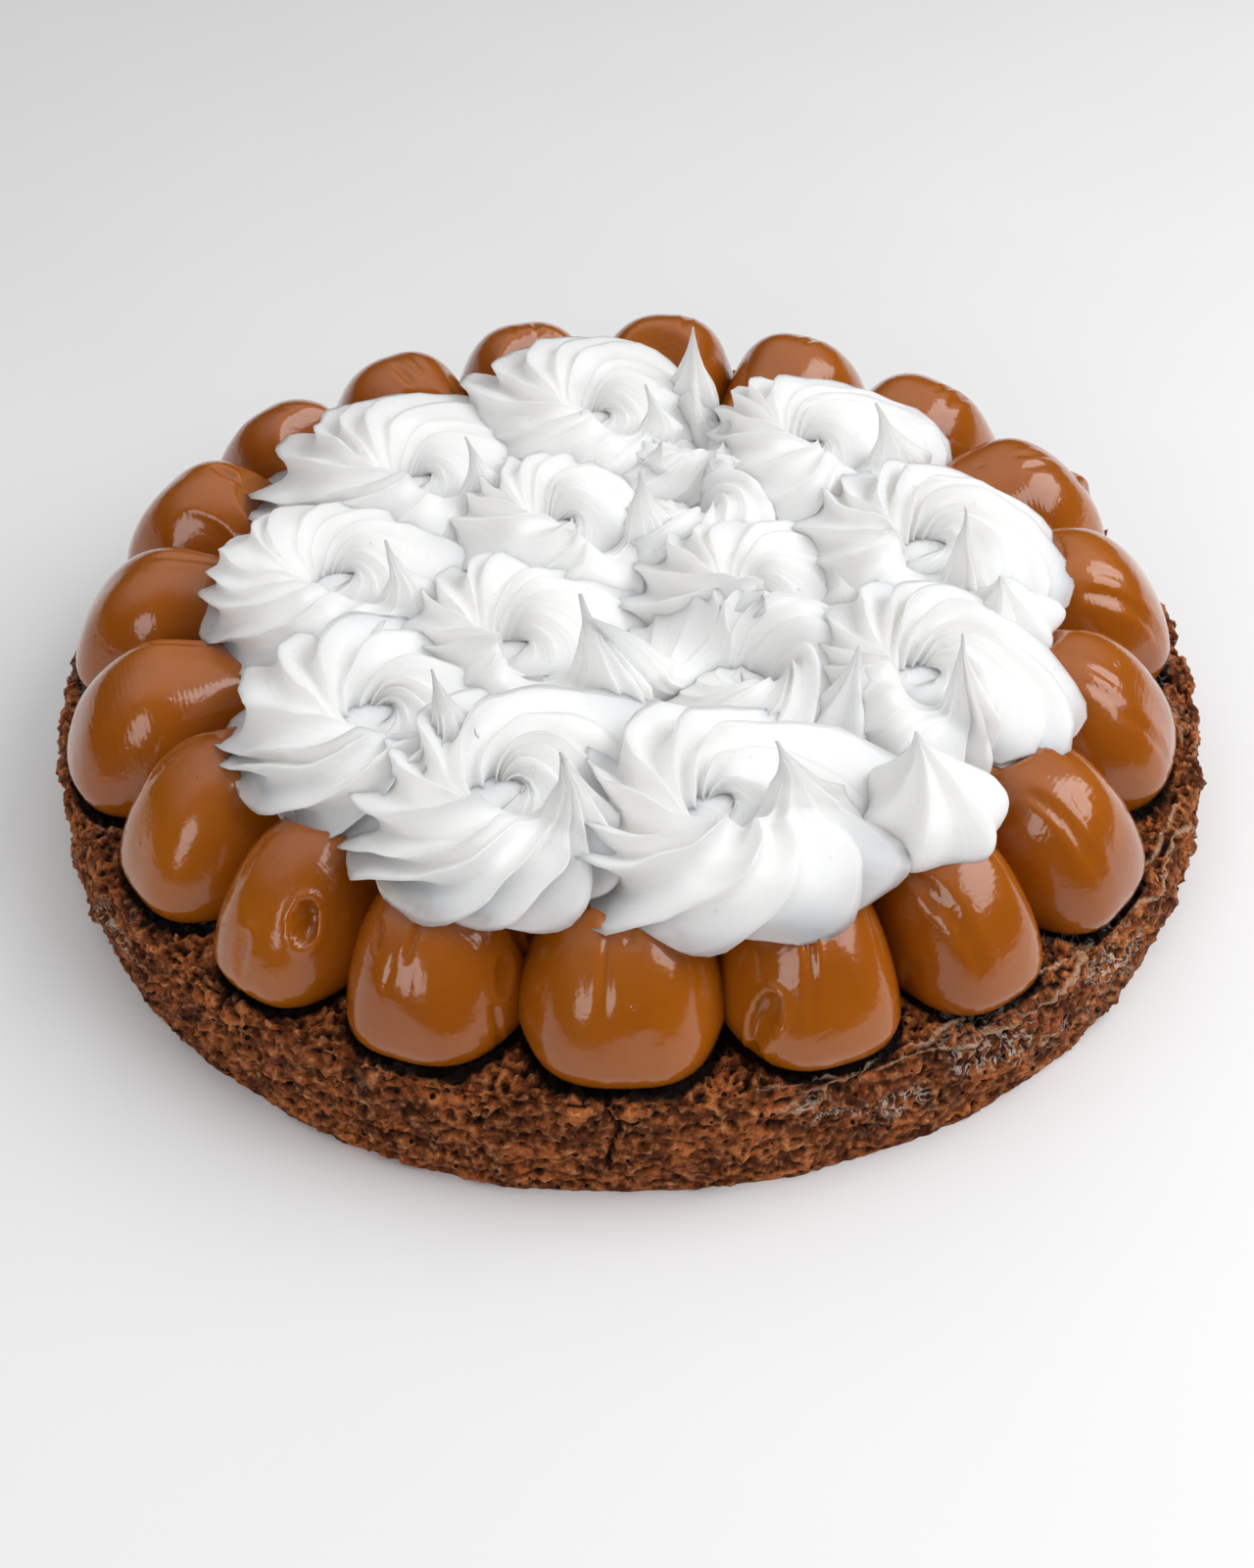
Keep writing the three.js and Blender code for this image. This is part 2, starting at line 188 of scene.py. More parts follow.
class Piece:
    """One visible piece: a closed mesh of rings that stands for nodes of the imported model."""

    def __init__(self, name: str, points: Array, columns: int) -> None:
        """Makes the mesh object.

        Args:
            name: name of the object.
            points: vertices in millimetres, ring after ring. The last two close the ends.
            columns: number of points in a ring.
        """
        rows = len(points) // columns
        ring = np.arange(columns)
        after = (ring + 1) % columns
        low = np.arange(rows - 1)[:, None] * columns
        high = low + columns
        wall = np.stack([low + ring, low + after, high + after, high + ring], axis=-1)
        first = rows * columns
        top = first - columns
        start = np.stack([np.full(columns, first), after, ring], axis=-1)
        end = np.stack([np.full(columns, first + 1), top + ring, top + after], axis=-1)
        loops = np.concatenate([faces.ravel() for faces in (wall, start, end)]).astype(np.int32)
        sizes = np.repeat([4, 3], [wall.size // 4, 2 * columns])
        starts = np.concatenate([[0], np.cumsum(sizes)[:-1]]).astype(np.int32)
        mesh = bpy.data.meshes.new(name)
        mesh.vertices.add(len(points))
        mesh.vertices.foreach_set("co", (points * MM).astype(np.float32).ravel())
        mesh.loops.add(len(loops))
        mesh.loops.foreach_set("vertex_index", loops)
        mesh.polygons.add(len(sizes))
        mesh.polygons.foreach_set("loop_start", starts)
        mesh.polygons.foreach_set("use_smooth", np.ones(len(sizes), dtype=bool))
        mesh.update(calc_edges=True)
        mesh.validate()
        self.object = bpy.data.objects.new(name, mesh)
        bpy.context.scene.collection.objects.link(self.object)

    def paint_values(self, name: str, values: Array) -> None:
        """Keeps one number for each vertex under a name that a material can read.

        Args:
            name: name of the attribute.
            values: numbers for the vertices, where 0 stands in for missing ones at the end.
        """
        padded = np.zeros(len(self.object.data.vertices), dtype=np.float32)
        padded[: len(values)] = values
        attribute = self.object.data.attributes.new(name, "FLOAT", "POINT")
        attribute.data.foreach_set("value", padded)

    def dress(self, material: bpy.types.Material, nodes: list[str]) -> None:
        """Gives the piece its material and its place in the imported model.

        Args:
            material: finish of the piece.
            nodes: names of the nodes that the piece stands for.
        """
        self.object.data.materials.append(material)
        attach(self.object, BODY)
        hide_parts(*nodes)
        log.info("%s: %d faces", self.object.name, len(self.object.data.polygons))


# Finishes


class Graph:
    """Short calls to fill a shader tree."""

    def __init__(self, tree: bpy.types.NodeTree) -> None:
        """Keeps the tree of a material, a world or a node group."""
        self.tree = tree

    def put(self, socket: Socket, value: object) -> None:
        """Sets an input, or links it where the value is another socket.

        Args:
            socket: the input.
            value: its value or the output that gives it.
        """
        if isinstance(value, Socket):
            self.tree.links.new(value, socket)
        else:
            socket.default_value = value

    def fill(self, node: bpy.types.Node, **values: object) -> bpy.types.Node:
        """Sets properties and inputs of a node.

        Args:
            node: the node.
            values: properties by name, and inputs by name with underscores for spaces.

        Returns:
            The node.
        """
        for name, value in values.items():
            if hasattr(node, name):
                setattr(node, name, value)
            else:
                self.put(node.inputs[name.replace("_", " ")], value)
        return node

    def node(self, kind: str, **values: object) -> bpy.types.Node:
        """Adds a node of a kind that Blender names, with its properties and inputs."""
        return self.fill(self.tree.nodes.new(kind), **values)

    def place(self) -> Socket:
        """Place on the object, in metres."""
        return self.node("ShaderNodeTexCoord").outputs["Object"]

    def painted(self, name: str) -> Socket:
        """Number that is painted on the mesh under a name."""
        return self.node("ShaderNodeAttribute", attribute_name=name).outputs["Fac"]

    def noise(self, **values: object) -> Socket:
        """Noise with the given inputs."""
        return self.node("ShaderNodeTexNoise", **values).outputs["Fac"]

    def number(self, operation: str, *values: object, clamp: bool = False) -> Socket:
        """Works a number out.

        Args:
            operation: Blender's name of the operation.
            values: numbers, or the sockets that give them.
            clamp: whether the result stays between 0 and 1.

        Returns:
            The result.
        """
        node = self.node("ShaderNodeMath", operation=operation, use_clamp=clamp)
        for socket, value in zip(node.inputs, values):
            self.put(socket, value)
        return node.outputs["Value"]

    def blend(self, share: Socket, low: object, high: object) -> Socket:
        """Blends two colours.

        Args:
            share: 0 for the first colour and 1 for the second.
            low: first colour or the socket that gives it.
            high: second colour or the socket that gives it.

        Returns:
            The blended colour.
        """
        mix = self.node("ShaderNodeMix", data_type="RGBA")
        self.put(mix.inputs[0], share)
        for socket, colour in ((mix.inputs[6], low), (mix.inputs[7], high)):
            self.put(socket, (*colour, 1.0) if isinstance(colour, tuple) else colour)
        return mix.outputs[2]

    def span(self, value: Socket, given: Pair, result: Pair) -> Socket:
        """Maps a value smoothly from one span to another.

        Args:
            value: the value.
            given: the two ends of the span that it comes in.
            result: what it gives at these two ends.

        Returns:
            The mapped value.
        """
        node = self.node("ShaderNodeMapRange", interpolation_type="SMOOTHSTEP", Value=value)
        self.fill(node, From_Min=given[0], From_Max=given[1], To_Min=result[0], To_Max=result[1])
        return node.outputs["Result"]

    def bump(self, height: Socket, strength: float, depth: float, **more: object) -> Socket:
        """Raises fine relief.

        Args:
            height: height of the relief.
            strength: share of the relief that shows.
            depth: full height of the relief in metres.
            more: invert for hollows, and Normal for the relief that it lies on.

        Returns:
            The normal.
        """
        node = self.node("ShaderNodeBump", Height=height, Strength=strength, Distance=depth, **more)
        return node.outputs["Normal"]


class Effect(Enum):
    """Effects that several finishes share, each a node group."""

    MOTTLE = "mottle"
    PORES = "pores"

    def tree(self) -> bpy.types.NodeTree:
        """Finds the effect's node group, or makes it when it is first used.

        Returns:
            The node group.
        """
        if self.value in bpy.data.node_groups:
            return bpy.data.node_groups[self.value]
        group = bpy.data.node_groups.new(self.value, "ShaderNodeTree")
        for name, way in (("Scale", "INPUT"), ("Amount", "INPUT"), ("Mask", "OUTPUT")):
            group.interface.new_socket(name, in_out=way, socket_type="NodeSocketFloat")
        graph = Graph(group)
        given = graph.node("NodeGroupInput")
        mask = self.mask(graph, given.outputs["Scale"], given.outputs["Amount"])
        graph.node("NodeGroupOutput", Mask=mask)
        return group

    def mask(self, graph: Graph, scale: Socket, amount: Socket) -> Socket:
        """Fills the node group.

        Args:
            graph: the group's graph.
            scale: grains to a metre.
            amount: contrast of the mottle or share of the cells with a pore.

        Returns:
            The mask.
        """
        place = graph.place()
        if self is Effect.MOTTLE:
            noise = graph.noise(Vector=place, Scale=scale, Detail=5.0)
            shift = graph.number("MULTIPLY_ADD", amount, -0.5, 0.5)
            return graph.number("MULTIPLY_ADD", noise, amount, shift, clamp=True)
        cells = graph.node("ShaderNodeTexVoronoi", Vector=place, Scale=scale)
        chance = graph.node("ShaderNodeSeparateColor", Color=cells.outputs["Color"])
        chosen = graph.number("LESS_THAN", chance.outputs["Red"], amount)
        size = graph.span(chance.outputs["Green"], (0.0, 1.0), (0.1, 0.3))
        near = graph.number("DIVIDE", cells.outputs["Distance"], size, clamp=True)
        return graph.number("MULTIPLY", graph.span(near, (0.5, 1.0), (1.0, 0.0)), chosen)

    def add(self, graph: Graph, scale: float, amount: float) -> Socket:
        """Puts the effect into a finish with its own scale and amount."""
        node = graph.node("ShaderNodeGroup", node_tree=self.tree(), Scale=scale, Amount=amount)
        return node.outputs["Mask"]


@dataclass(frozen=True)
class Finish:
    """Common part of the finishes."""

    name: str

    def start(self) -> tuple[bpy.types.Material, Graph, bpy.types.Node]:
        """An empty node material.

        Returns:
            The material, its graph and its shader.
        """
        material = bpy.data.materials.new(self.name)
        material.use_nodes = True
        return material, Graph(material.node_tree), material.node_tree.nodes["Principled BSDF"]


@dataclass(frozen=True)
class MeringueFinish(Finish):
    """White, satin and faintly translucent, with small pores and brush-like streaks."""

    name: str = "meringue"
    shade: Triple = (0.87, 0.865, 0.855)
    light: Triple = (0.905, 0.90, 0.89)
    roughness: Pair = (0.42, 0.58)
    streaks: float = 5.0

    def build(self) -> bpy.types.Material:
        """Makes the material.

        Returns:
            The material.
        """
        material, graph, shader = self.start()
        mottle = Effect.MOTTLE.add(graph, 90.0, 1.6)
        pores = Effect.PORES.add(graph, 330.0, 0.035)
        tiny = Effect.PORES.add(graph, 620.0, 0.06)
        tooth = graph.noise(Vector=graph.place(), Scale=900.0, Detail=3.0)
        strand = graph.painted("strand")
        drawn = graph.noise(noise_dimensions="1D", W=strand, Scale=self.streaks, Detail=2.0)
        skin = graph.bump(tooth, 0.12, 0.0003)
        skin = graph.bump(tiny, 0.6, 0.0003, invert=True, Normal=skin)
        skin = graph.bump(pores, 0.8, 0.0004, invert=True, Normal=skin)
        graph.fill(
            shader,
            Base_Color=graph.blend(mottle, self.shade, self.light),
            Roughness=graph.span(mottle, (0.0, 1.0), self.roughness),
            IOR=1.4,
            Subsurface_Weight=0.6,
            Subsurface_Radius=(1.0, 0.85, 0.7),
            Subsurface_Scale=0.009,
            Normal=graph.bump(drawn, 0.6, 0.0003, Normal=skin),
        )
        return material


@dataclass(frozen=True)
class CaramelFinish(Finish):
    """Milk caramel: brown and translucent under a glossy wet skin with faint wrinkles."""

    name: str = "caramel"
    deep: Triple = (0.27, 0.060, 0.002)
    pale: Triple = (0.44, 0.126, 0.005)
    roughness: Pair = (0.26, 0.2)
    ripple_step: float = 1.15
    ripple_wander: float = 14.0

    def build(self) -> bpy.types.Material:
        """Makes the material.

        Returns:
            The material.
        """
        material, graph, shader = self.start()
        mottle = Effect.MOTTLE.add(graph, 32.0, 1.3)
        bubbles = Effect.PORES.add(graph, 300.0, 0.04)
        patches = Effect.MOTTLE.add(graph, 45.0, 5.0)
        wrinkles = graph.noise(Vector=graph.place(), Scale=330.0, Detail=3.0, Distortion=0.8)
        wander = graph.span(mottle, (0.0, 1.0), (0.0, self.ripple_wander))
        outward = graph.painted("outward")
        phase = graph.number("MULTIPLY_ADD", outward, 2 * math.pi / self.ripple_step, wander)
        ripples = graph.number("MULTIPLY", graph.number("SINE", phase), patches)
        skin = graph.bump(wrinkles, 0.16, 0.0006)
        skin = graph.bump(ripples, 0.3, 0.00002, Normal=skin)
        skin = graph.bump(bubbles, 0.4, 0.0003, Normal=skin)
        graph.fill(
            shader,
            Base_Color=graph.blend(mottle, self.deep, self.pale),
            Roughness=graph.span(mottle, (0.0, 1.0), self.roughness),
            IOR=1.45,
            Specular_IOR_Level=0.12,
            Subsurface_Weight=0.35,
            Subsurface_Radius=(1.0, 0.4, 0.12),
            Subsurface_Scale=0.004,
            Coat_Weight=1.0,
            Coat_Roughness=0.12,
            Coat_IOR=1.52,
            Normal=skin,
            Coat_Normal=skin,
        )
        return material


@dataclass(frozen=True)
class BrownieFinish(Finish):
    """Dark reddish-brown crumb with lighter grains, painted black shade in its hollows, painted
    highlights on raised crumb and thin pale flakes of crust.
    """

    name: str = "brownie"
    # Near-black colour painted as shade in pores, holes, cracks and low places.
    hollow: Triple = (0.006, 0.002, 0.001)
    dark: Triple = (0.10, 0.022, 0.005)
    crumb: Triple = (0.43, 0.110, 0.031)
    warm: Triple = (0.67, 0.200, 0.053)
    grain: Triple = (0.72, 0.30, 0.11)
    flake: Triple = (0.66, 0.54, 0.45)
    edge: Triple = (0.62, 0.42, 0.28)
    roughness: Pair = (0.8, 0.5)

    def build(self) -> bpy.types.Material:
        """Makes the material.

        Returns:
            The material.
        """
        material, graph, shader = self.start()
        warmth = Effect.MOTTLE.add(graph, 38.0, 3.0)
        broad = Effect.MOTTLE.add(graph, 170.0, 4.2)
        grains = Effect.MOTTLE.add(graph, 560.0, 3.0)
        pores = Effect.PORES.add(graph, 400.0, 0.62)
        web = graph.noise(Vector=graph.place(), Scale=240.0, Detail=3.0, Distortion=1.2)
        apart = graph.number("ABSOLUTE", graph.number("SUBTRACT", web, 0.5))
        torn = graph.span(apart, (0.01, 0.036), (1.0, 0.0))
        colour = graph.blend(broad, self.dark, graph.blend(warmth, self.crumb, self.warm))
        for share, over in (
            # The fine grain mottle also raises the bump below, so its high spots are painted lighter
            # and its low spots darker: partly the crumb's own speckled tone, partly painted highlight
            # and painted shade.
            (graph.span(grains, (0.6, 1.0), (0.0, 0.5)), self.grain),
            # Painted highlight: crumb that stands above its surroundings is lightened towards the
            # grain colour.
            (graph.span(graph.painted("raised"), (0.25, 1.0), (0.0, 0.32)), self.grain),
            (graph.span(grains, (0.48, 0.12), (0.0, 0.8)), self.dark),
            # Painted shade: near black in the shader's pores and where the mesh carries painted
            # shade.
            (pores, self.hollow),
            (graph.painted("hollow"), self.hollow),
            (graph.number("MULTIPLY", torn, graph.painted("crust")), self.flake),
            (graph.span(graph.painted("lip"), (0.35, 0.95), (0.0, 0.75)), self.edge),
        ):
            colour = graph.blend(share, colour, over)
        raised = graph.bump(grains, 1.0, 0.0013)
        graph.fill(
            shader,
            Base_Color=colour,
            Roughness=graph.span(grains, (0.2, 0.8), self.roughness),
            IOR=1.45,
            Specular_IOR_Level=0.16,
            Normal=graph.bump(pores, 1.0, 0.0011, invert=True, Normal=raised),
        )
        return material


@dataclass(frozen=True)
class FloorFinish(Finish):
    """Plain pale ground with painted shade far in front: it darkens there like light falling off, so
    that little of it shows in the caramel.
    """

    name: str = "pale_floor"
    low: Triple = (0.83, 0.83, 0.836)
    high: Triple = (0.86, 0.86, 0.866)
    # Painted shade colour of the floor far in front.
    far: Triple = (0.16, 0.16, 0.16)
    far_shade_span: Pair = (-0.72, -0.34)
    roughness: Pair = (0.62, 0.7)

    def build(self) -> bpy.types.Material:
        """Makes the material.

        Returns:
            The material.
        """
        material, graph, shader = self.start()
        mottle = Effect.MOTTLE.add(graph, 12.0, 1.0)
        parts = graph.node("ShaderNodeSeparateXYZ", Vector=graph.place())
        # Painted shade: the floor fades to the dark colour far in front.
        near = graph.span(parts.outputs["Y"], self.far_shade_span, (0.0, 1.0))
        pale = graph.blend(mottle, self.low, self.high)
        graph.fill(
            shader,
            Base_Color=graph.blend(near, self.far, pale),
            Roughness=graph.span(mottle, (0.0, 1.0), self.roughness),
        )
        return material


# Layout of the cake


@dataclass(frozen=True)
class Topping:
    """A piped piece of meringue: its middle, outer reach and the height of its foot there."""

    number: int
    x: float
    y: float
    reach: float
    foot: float

    FOOT_SLOPE = 0.15
    SLOPE_FROM = 58.0
    CROWDING = 1.45
    OUTER_SHARE = 0.85

    def out(self) -> float:
        """Distance of the piece from the middle of the cake."""
        return math.hypot(self.x, self.y)

    def foot_height(self, x: Array, y: Array) -> Array:
        """Height of the underside at a place.

        Args:
            x: places along X.
            y: places along Y.

        Returns:
            The height, level near the middle of the cake and rising towards its edge.
        """
        if self.out() < self.SLOPE_FROM:
            return np.full(np.shape(x), self.foot)
        along = ((x - self.x) * self.x + (y - self.y) * self.y) / self.out()
        return self.foot + self.FOOT_SLOPE * along

    def spread(self, angle: Array) -> Array:
        """How much wider than its reach the piece may spread in a direction.

        Args:
            angle: directions in radians.

        Returns:
            1 towards the cake's edge and more inside the cake.
        """
        if self.out() < self.SLOPE_FROM:
            return np.full(np.shape(angle), self.CROWDING)
        outward = (np.cos(angle) * self.x + np.sin(angle) * self.y) / self.out()
        return self.CROWDING + (1 - self.CROWDING) * np.clip(outward + self.OUTER_SHARE, 0, 1)


@dataclass(frozen=True)
class SwirlPlace(Topping):
    """A swirl laid in one turn.

    It holds the height of its rope, its pulled tip, the direction of its first crest, how deep its
    crests are and, where they can be seen, the directions of all of them.
    """

    top: float
    tip: Triple
    teeth: float
    ruffle: float
    crests: tuple[float, ...] = ()


@dataclass(frozen=True)
class DropPlace(Topping):
    """A small drop: height and lean of its pulled tip and the turn of its teeth."""

    tip: float
    lean: Pair
    teeth: float


def swirl_places() -> list[SwirlPlace]:
    """Lists the swirls, the outer ring first and then the inner ones.

    Returns:
        Their places.
    """
    rows = [
        (-23, -76, 33, 49, 67, (-14.2, -84.1, 74.5), 4, 1.1,
         (12, 60, 105, 152, 194, 211, 247, 272, 290, 323)),
        (18, -82, 34, 49.5, 68, (25.7, -83.7, 75), 20, 1.15,
         (22, 68, 116, 153, 177, 225, 261, 311, 342)),
        (60.5, -44, 28.5, 48.5, 67, (63.5, -51.5, 73), 31, 0.72),
        (67, 0.5, 28, 46, 66, (70, -7.9, 71), 12, 0.62),
        (45, 40, 28.5, 46.5, 66.5, (55.6, 34.1, 69), 26, 0.55),
        (-4, 54.5, 28.5, 46, 65.5, (5.4, 46.1, 68.5), 38, 0.45),
        (-45.5, 30, 28.3, 46, 65.5, (-36.3, 24.3, 69.5), 9, 0.45),
        (-60.5, -8, 31, 46.5, 66, (-51.2, -14.6, 70.5), 23, 0.5),
        (-48.5, -53, 32, 48, 67, (-36.6, -62.3, 75), 35, 0.7,
         (35, 80, 128, 176, 190, 222, 251, 271, 310, 352)),
        (-21.5, -27.5, 27, 42, 66, (-12.6, -35.1, 73), 16, 0.5),
        (25, -40.5, 27, 42, 65, (5.6, -40.2, 68.5), 41, 0.5),
        (29, -14, 23, 42, 66, (39, -19.5, 66), 7, 0.5),
        (-13, 13.5, 27, 42, 65.5, (1, 8.5, 71), 29, 0.5),
        (14, 17.5, 18, 42, 63, (10, 24.5, 66), 13, 0.45),
        (15.5, 39.5, 17, 43, 62, (16, 46.5, 65.5), 37, 0.45),
    ]
    return [SwirlPlace(number, *sizes) for number, sizes in enumerate(rows, 1)]


def drop_places() -> list[DropPlace]:
    """Lists the small drops.

    Returns:
        Their places.
    """
    return [
        DropPlace(1, 56.3, -82.5, 14.8, 52, 77, (-5, -1), 10),
        DropPlace(2, 43, -55, 10, 47, 71, (1.5, 3), 25),
        DropPlace(3, 79, -22.5, 12.5, 50.5, 66, (-2.5, -2), 5),
        DropPlace(4, 17, 63, 7.5, 46, 73.5, (0, -0.5), 18),
    ]


@dataclass
class Layout:
    """All piped pieces of meringue and the borders where they meet."""

    swirls: list[SwirlPlace] = field(default_factory=swirl_places)
    drops: list[DropPlace] = field(default_factory=drop_places)
    least_facing: float = 0.05

    def pieces(self) -> list[Topping]:
        """All pieces, the swirls first."""
        return [*self.swirls, *self.drops]

    def room(self, piece: Topping, angle: Array) -> Array:
        """How far a piece may reach in a direction before it meets a neighbour.

        Args:
            piece: the piece that spreads.
            angle: directions in radians.

        Returns:
            The distances.
        """
        room = np.full(np.shape(angle), FAR)
        for other in self.pieces():
            if other is piece:
                continue
            dx, dy = other.x - piece.x, other.y - piece.y
            distance = math.hypot(dx, dy)
            border = distance * piece.reach / (piece.reach + other.reach)
            facing = (dx * np.cos(angle) + dy * np.sin(angle)) / distance
            meets = border / np.maximum(facing, self.least_facing)
            room = np.minimum(room, np.where(facing > self.least_facing, meets, FAR))
        return room


# Caramel


@dataclass(frozen=True)
class Crease:
    """A shallow furrow with low banks along a mound: its two ends, depth and width."""

    out: float
    side: float
    end_out: float
    end_side: float
    depth: float
    width: float

    GAIN = 1.5
    BANK = 0.35
    FADE = 5.0

    def relief(self, out: Array, side: Array) -> Array:
        """Relief that the mark gives to a mound.

        Args:
            out: distances out from the ring's middle.
            side: distances to the side of the mound's middle line.

        Returns:
            The heights over the smooth mound, negative inwards.
        """
        way_out, way_side = self.end_out - self.out, self.end_side - self.side
        length = math.hypot(way_out, way_side)
        along, across = turned(out - self.out, side - self.side, math.atan2(way_side, way_out))
        ends = eased(along / self.FADE) * eased((length - along) / self.FADE)
        banks = self.BANK * bell(np.abs(across) - 2 * self.width, self.width)
        return -self.GAIN * self.depth * ends * (bell(across, self.width) - banks)


@dataclass(frozen=True)
class Dimple:
    """A dip in a mound with a raised rim: its middle, half sizes, turn, depth and rim height."""

    out: float
    side: float
    along: float
    across: float
    turn: float
    depth: float
    rim: float

    ROUND = 0.6
    RIM_AT = 1.15
    RIM_WIDTH = 0.22

    def relief(self, out: Array, side: Array) -> Array:
        """Relief that the mark gives to a mound.

        Args:
            out: distances out from the ring's middle.
            side: distances to the side of the mound's middle line.

        Returns:
            The heights over the smooth mound, negative inwards.
        """
        along, across = turned(out - self.out, side - self.side, math.radians(self.turn))
        away = np.hypot(along / self.along, across / self.across)
        rim = self.rim * bell(away - self.RIM_AT, self.RIM_WIDTH)
        return rim - self.depth * np.clip(1 - away**2, 0, 1) ** self.ROUND


def mound_marks(number: int) -> list[Crease | Dimple]:
    """Creases, dimples and bubbles that a mound carries.

    Args:
        number: number of the mound from 1.

    Returns:
        The marks.
    """
    creases = (
        (1, 106, 2.8, 115.5, 1.4, 0.4, 0.7), (1, 112, -0.6, 121, -1.4, 0.16, 0.6),
        (1, 112, 2.8, 120, 3.6, 0.14, 0.6), (2, 100, -2.6, 121, -3.8, 0.6, 0.75),
        (2, 112.5, -6, 120, -6.4, 0.16, 0.6), (3, 104, -2.6, 118, -6.4, 0.6, 0.8),
        (3, 116, -6, 123, -7.2, 0.3, 0.7), (4, 102, -9.8, 124, -6, 0.55, 0.8),
        (5, 103, -6.4, 125, -5.2, 0.55, 0.85), (6, 108, -9.6, 122, -5.2, 0.45, 0.8),
        (6, 99, -8.4, 112, -8.6, 0.3, 0.7), (6, 99, -4.6, 110, -5.2, 0.2, 0.8),
        (7, 97, -11.4, 119, -11.6, 0.55, 0.9), (7, 98, -7, 110, -7.4, 0.18, 0.7),
        (8, 96, -6.4, 109, -6, 0.45, 1), (8, 97, -1.8, 108, -2.6, 0.35, 1),
        (9, 98, -9.4, 112, -7, 0.45, 0.9), (9, 98, -5, 110, -4, 0.25, 0.8),
        (10, 98, -3, 110, -4, 0.3, 0.9), (11, 96, -4.6, 110, -4.4, 0.35, 0.9),
        (12, 95, -3, 108, -4.4, 0.35, 0.9), (12, 95, 2, 106, 2.6, 0.2, 0.8),
        (13, 88, 2, 101, 3.4, 0.5, 1), (13, 92, -3, 104, -2.6, 0.25, 0.8),
        (14, 90, -1, 104, -0.4, 0.25, 0.9), (16, 86, -3.4, 104, -2.2, 0.4, 0.9),
        (17, 86, -3, 104, -6, 0.4, 0.9), (18, 94, -8.6, 113, -6.6, 0.4, 0.8),
        (19, 102, -6.6, 114, -7.6, 0.3, 0.8),
    )
    dimples = (
        (1, 98.1, 16.6, 1.6, 2.8, 0, 2.6, 0.1), (1, 106, 17.2, 3.2, 1.3, 0, 0.9, 0.1),
        (1, 111.8, 17.6, 1.4, 1, 20, 0.7, 0.2), (1, 111.3, -4.8, 2.5, 0.95, 8, 0.5, 0.25),
        (2, 120.3, 3.9, 2.4, 1.5, 0, 0.3, 0.14), (2, 106.9, 1.2, 2.1, 1, 0, 0.45, 0.2),
        (3, 115, -14.2, 3, 2.1, 49, 2.8, 0.7), (4, 110.4, -9.6, 2.4, 0.9, 10, 0.5, 0.22),
        (4, 112.8, -14.6, 1.7, 1.5, 0, 1.3, 0.25), (4, 113.2, -11.6, 0.6, 0.5, 0, -0.2, 0),
        (5, 112.6, -1.2, 3.4, 0.8, 12, 0.45, 0.2), (5, 108.1, -11, 0.6, 0.6, 0, -0.2, 0),
        (5, 109.2, -12, 0.5, 0.5, 0, -0.2, 0), (8, 117, -3.5, 1.9, 1.7, 0, -1.6, 0),
        (15, 97.6, -1.2, 4.6, 1.7, -12, 1.2, 0.22), (15, 97, 13.8, 8, 3.4, 0, 1.6, 0.1),
        (17, 105.4, 9.2, 0.7, 0.7, 0, -0.3, 0), (17, 100.6, 4.9, 0.6, 0.8, 0, -0.3, 0),
        (18, 104, 5, 0.5, 0.5, 0, -0.2, 0), (19, 111.7, 8.1, 3, 2.1, -10, 3.8, 0.6),
        (19, 119.6, -1.2, 2.2, 1.8, 0, 0.35, 0.3), (19, 104.5, 12, 0.6, 0.6, 0, -0.25, 0),
    )
    marks = [Crease(*row) for mound, *row in creases if mound == number]
    return marks + [Dimple(*row) for mound, *row in dimples if mound == number]


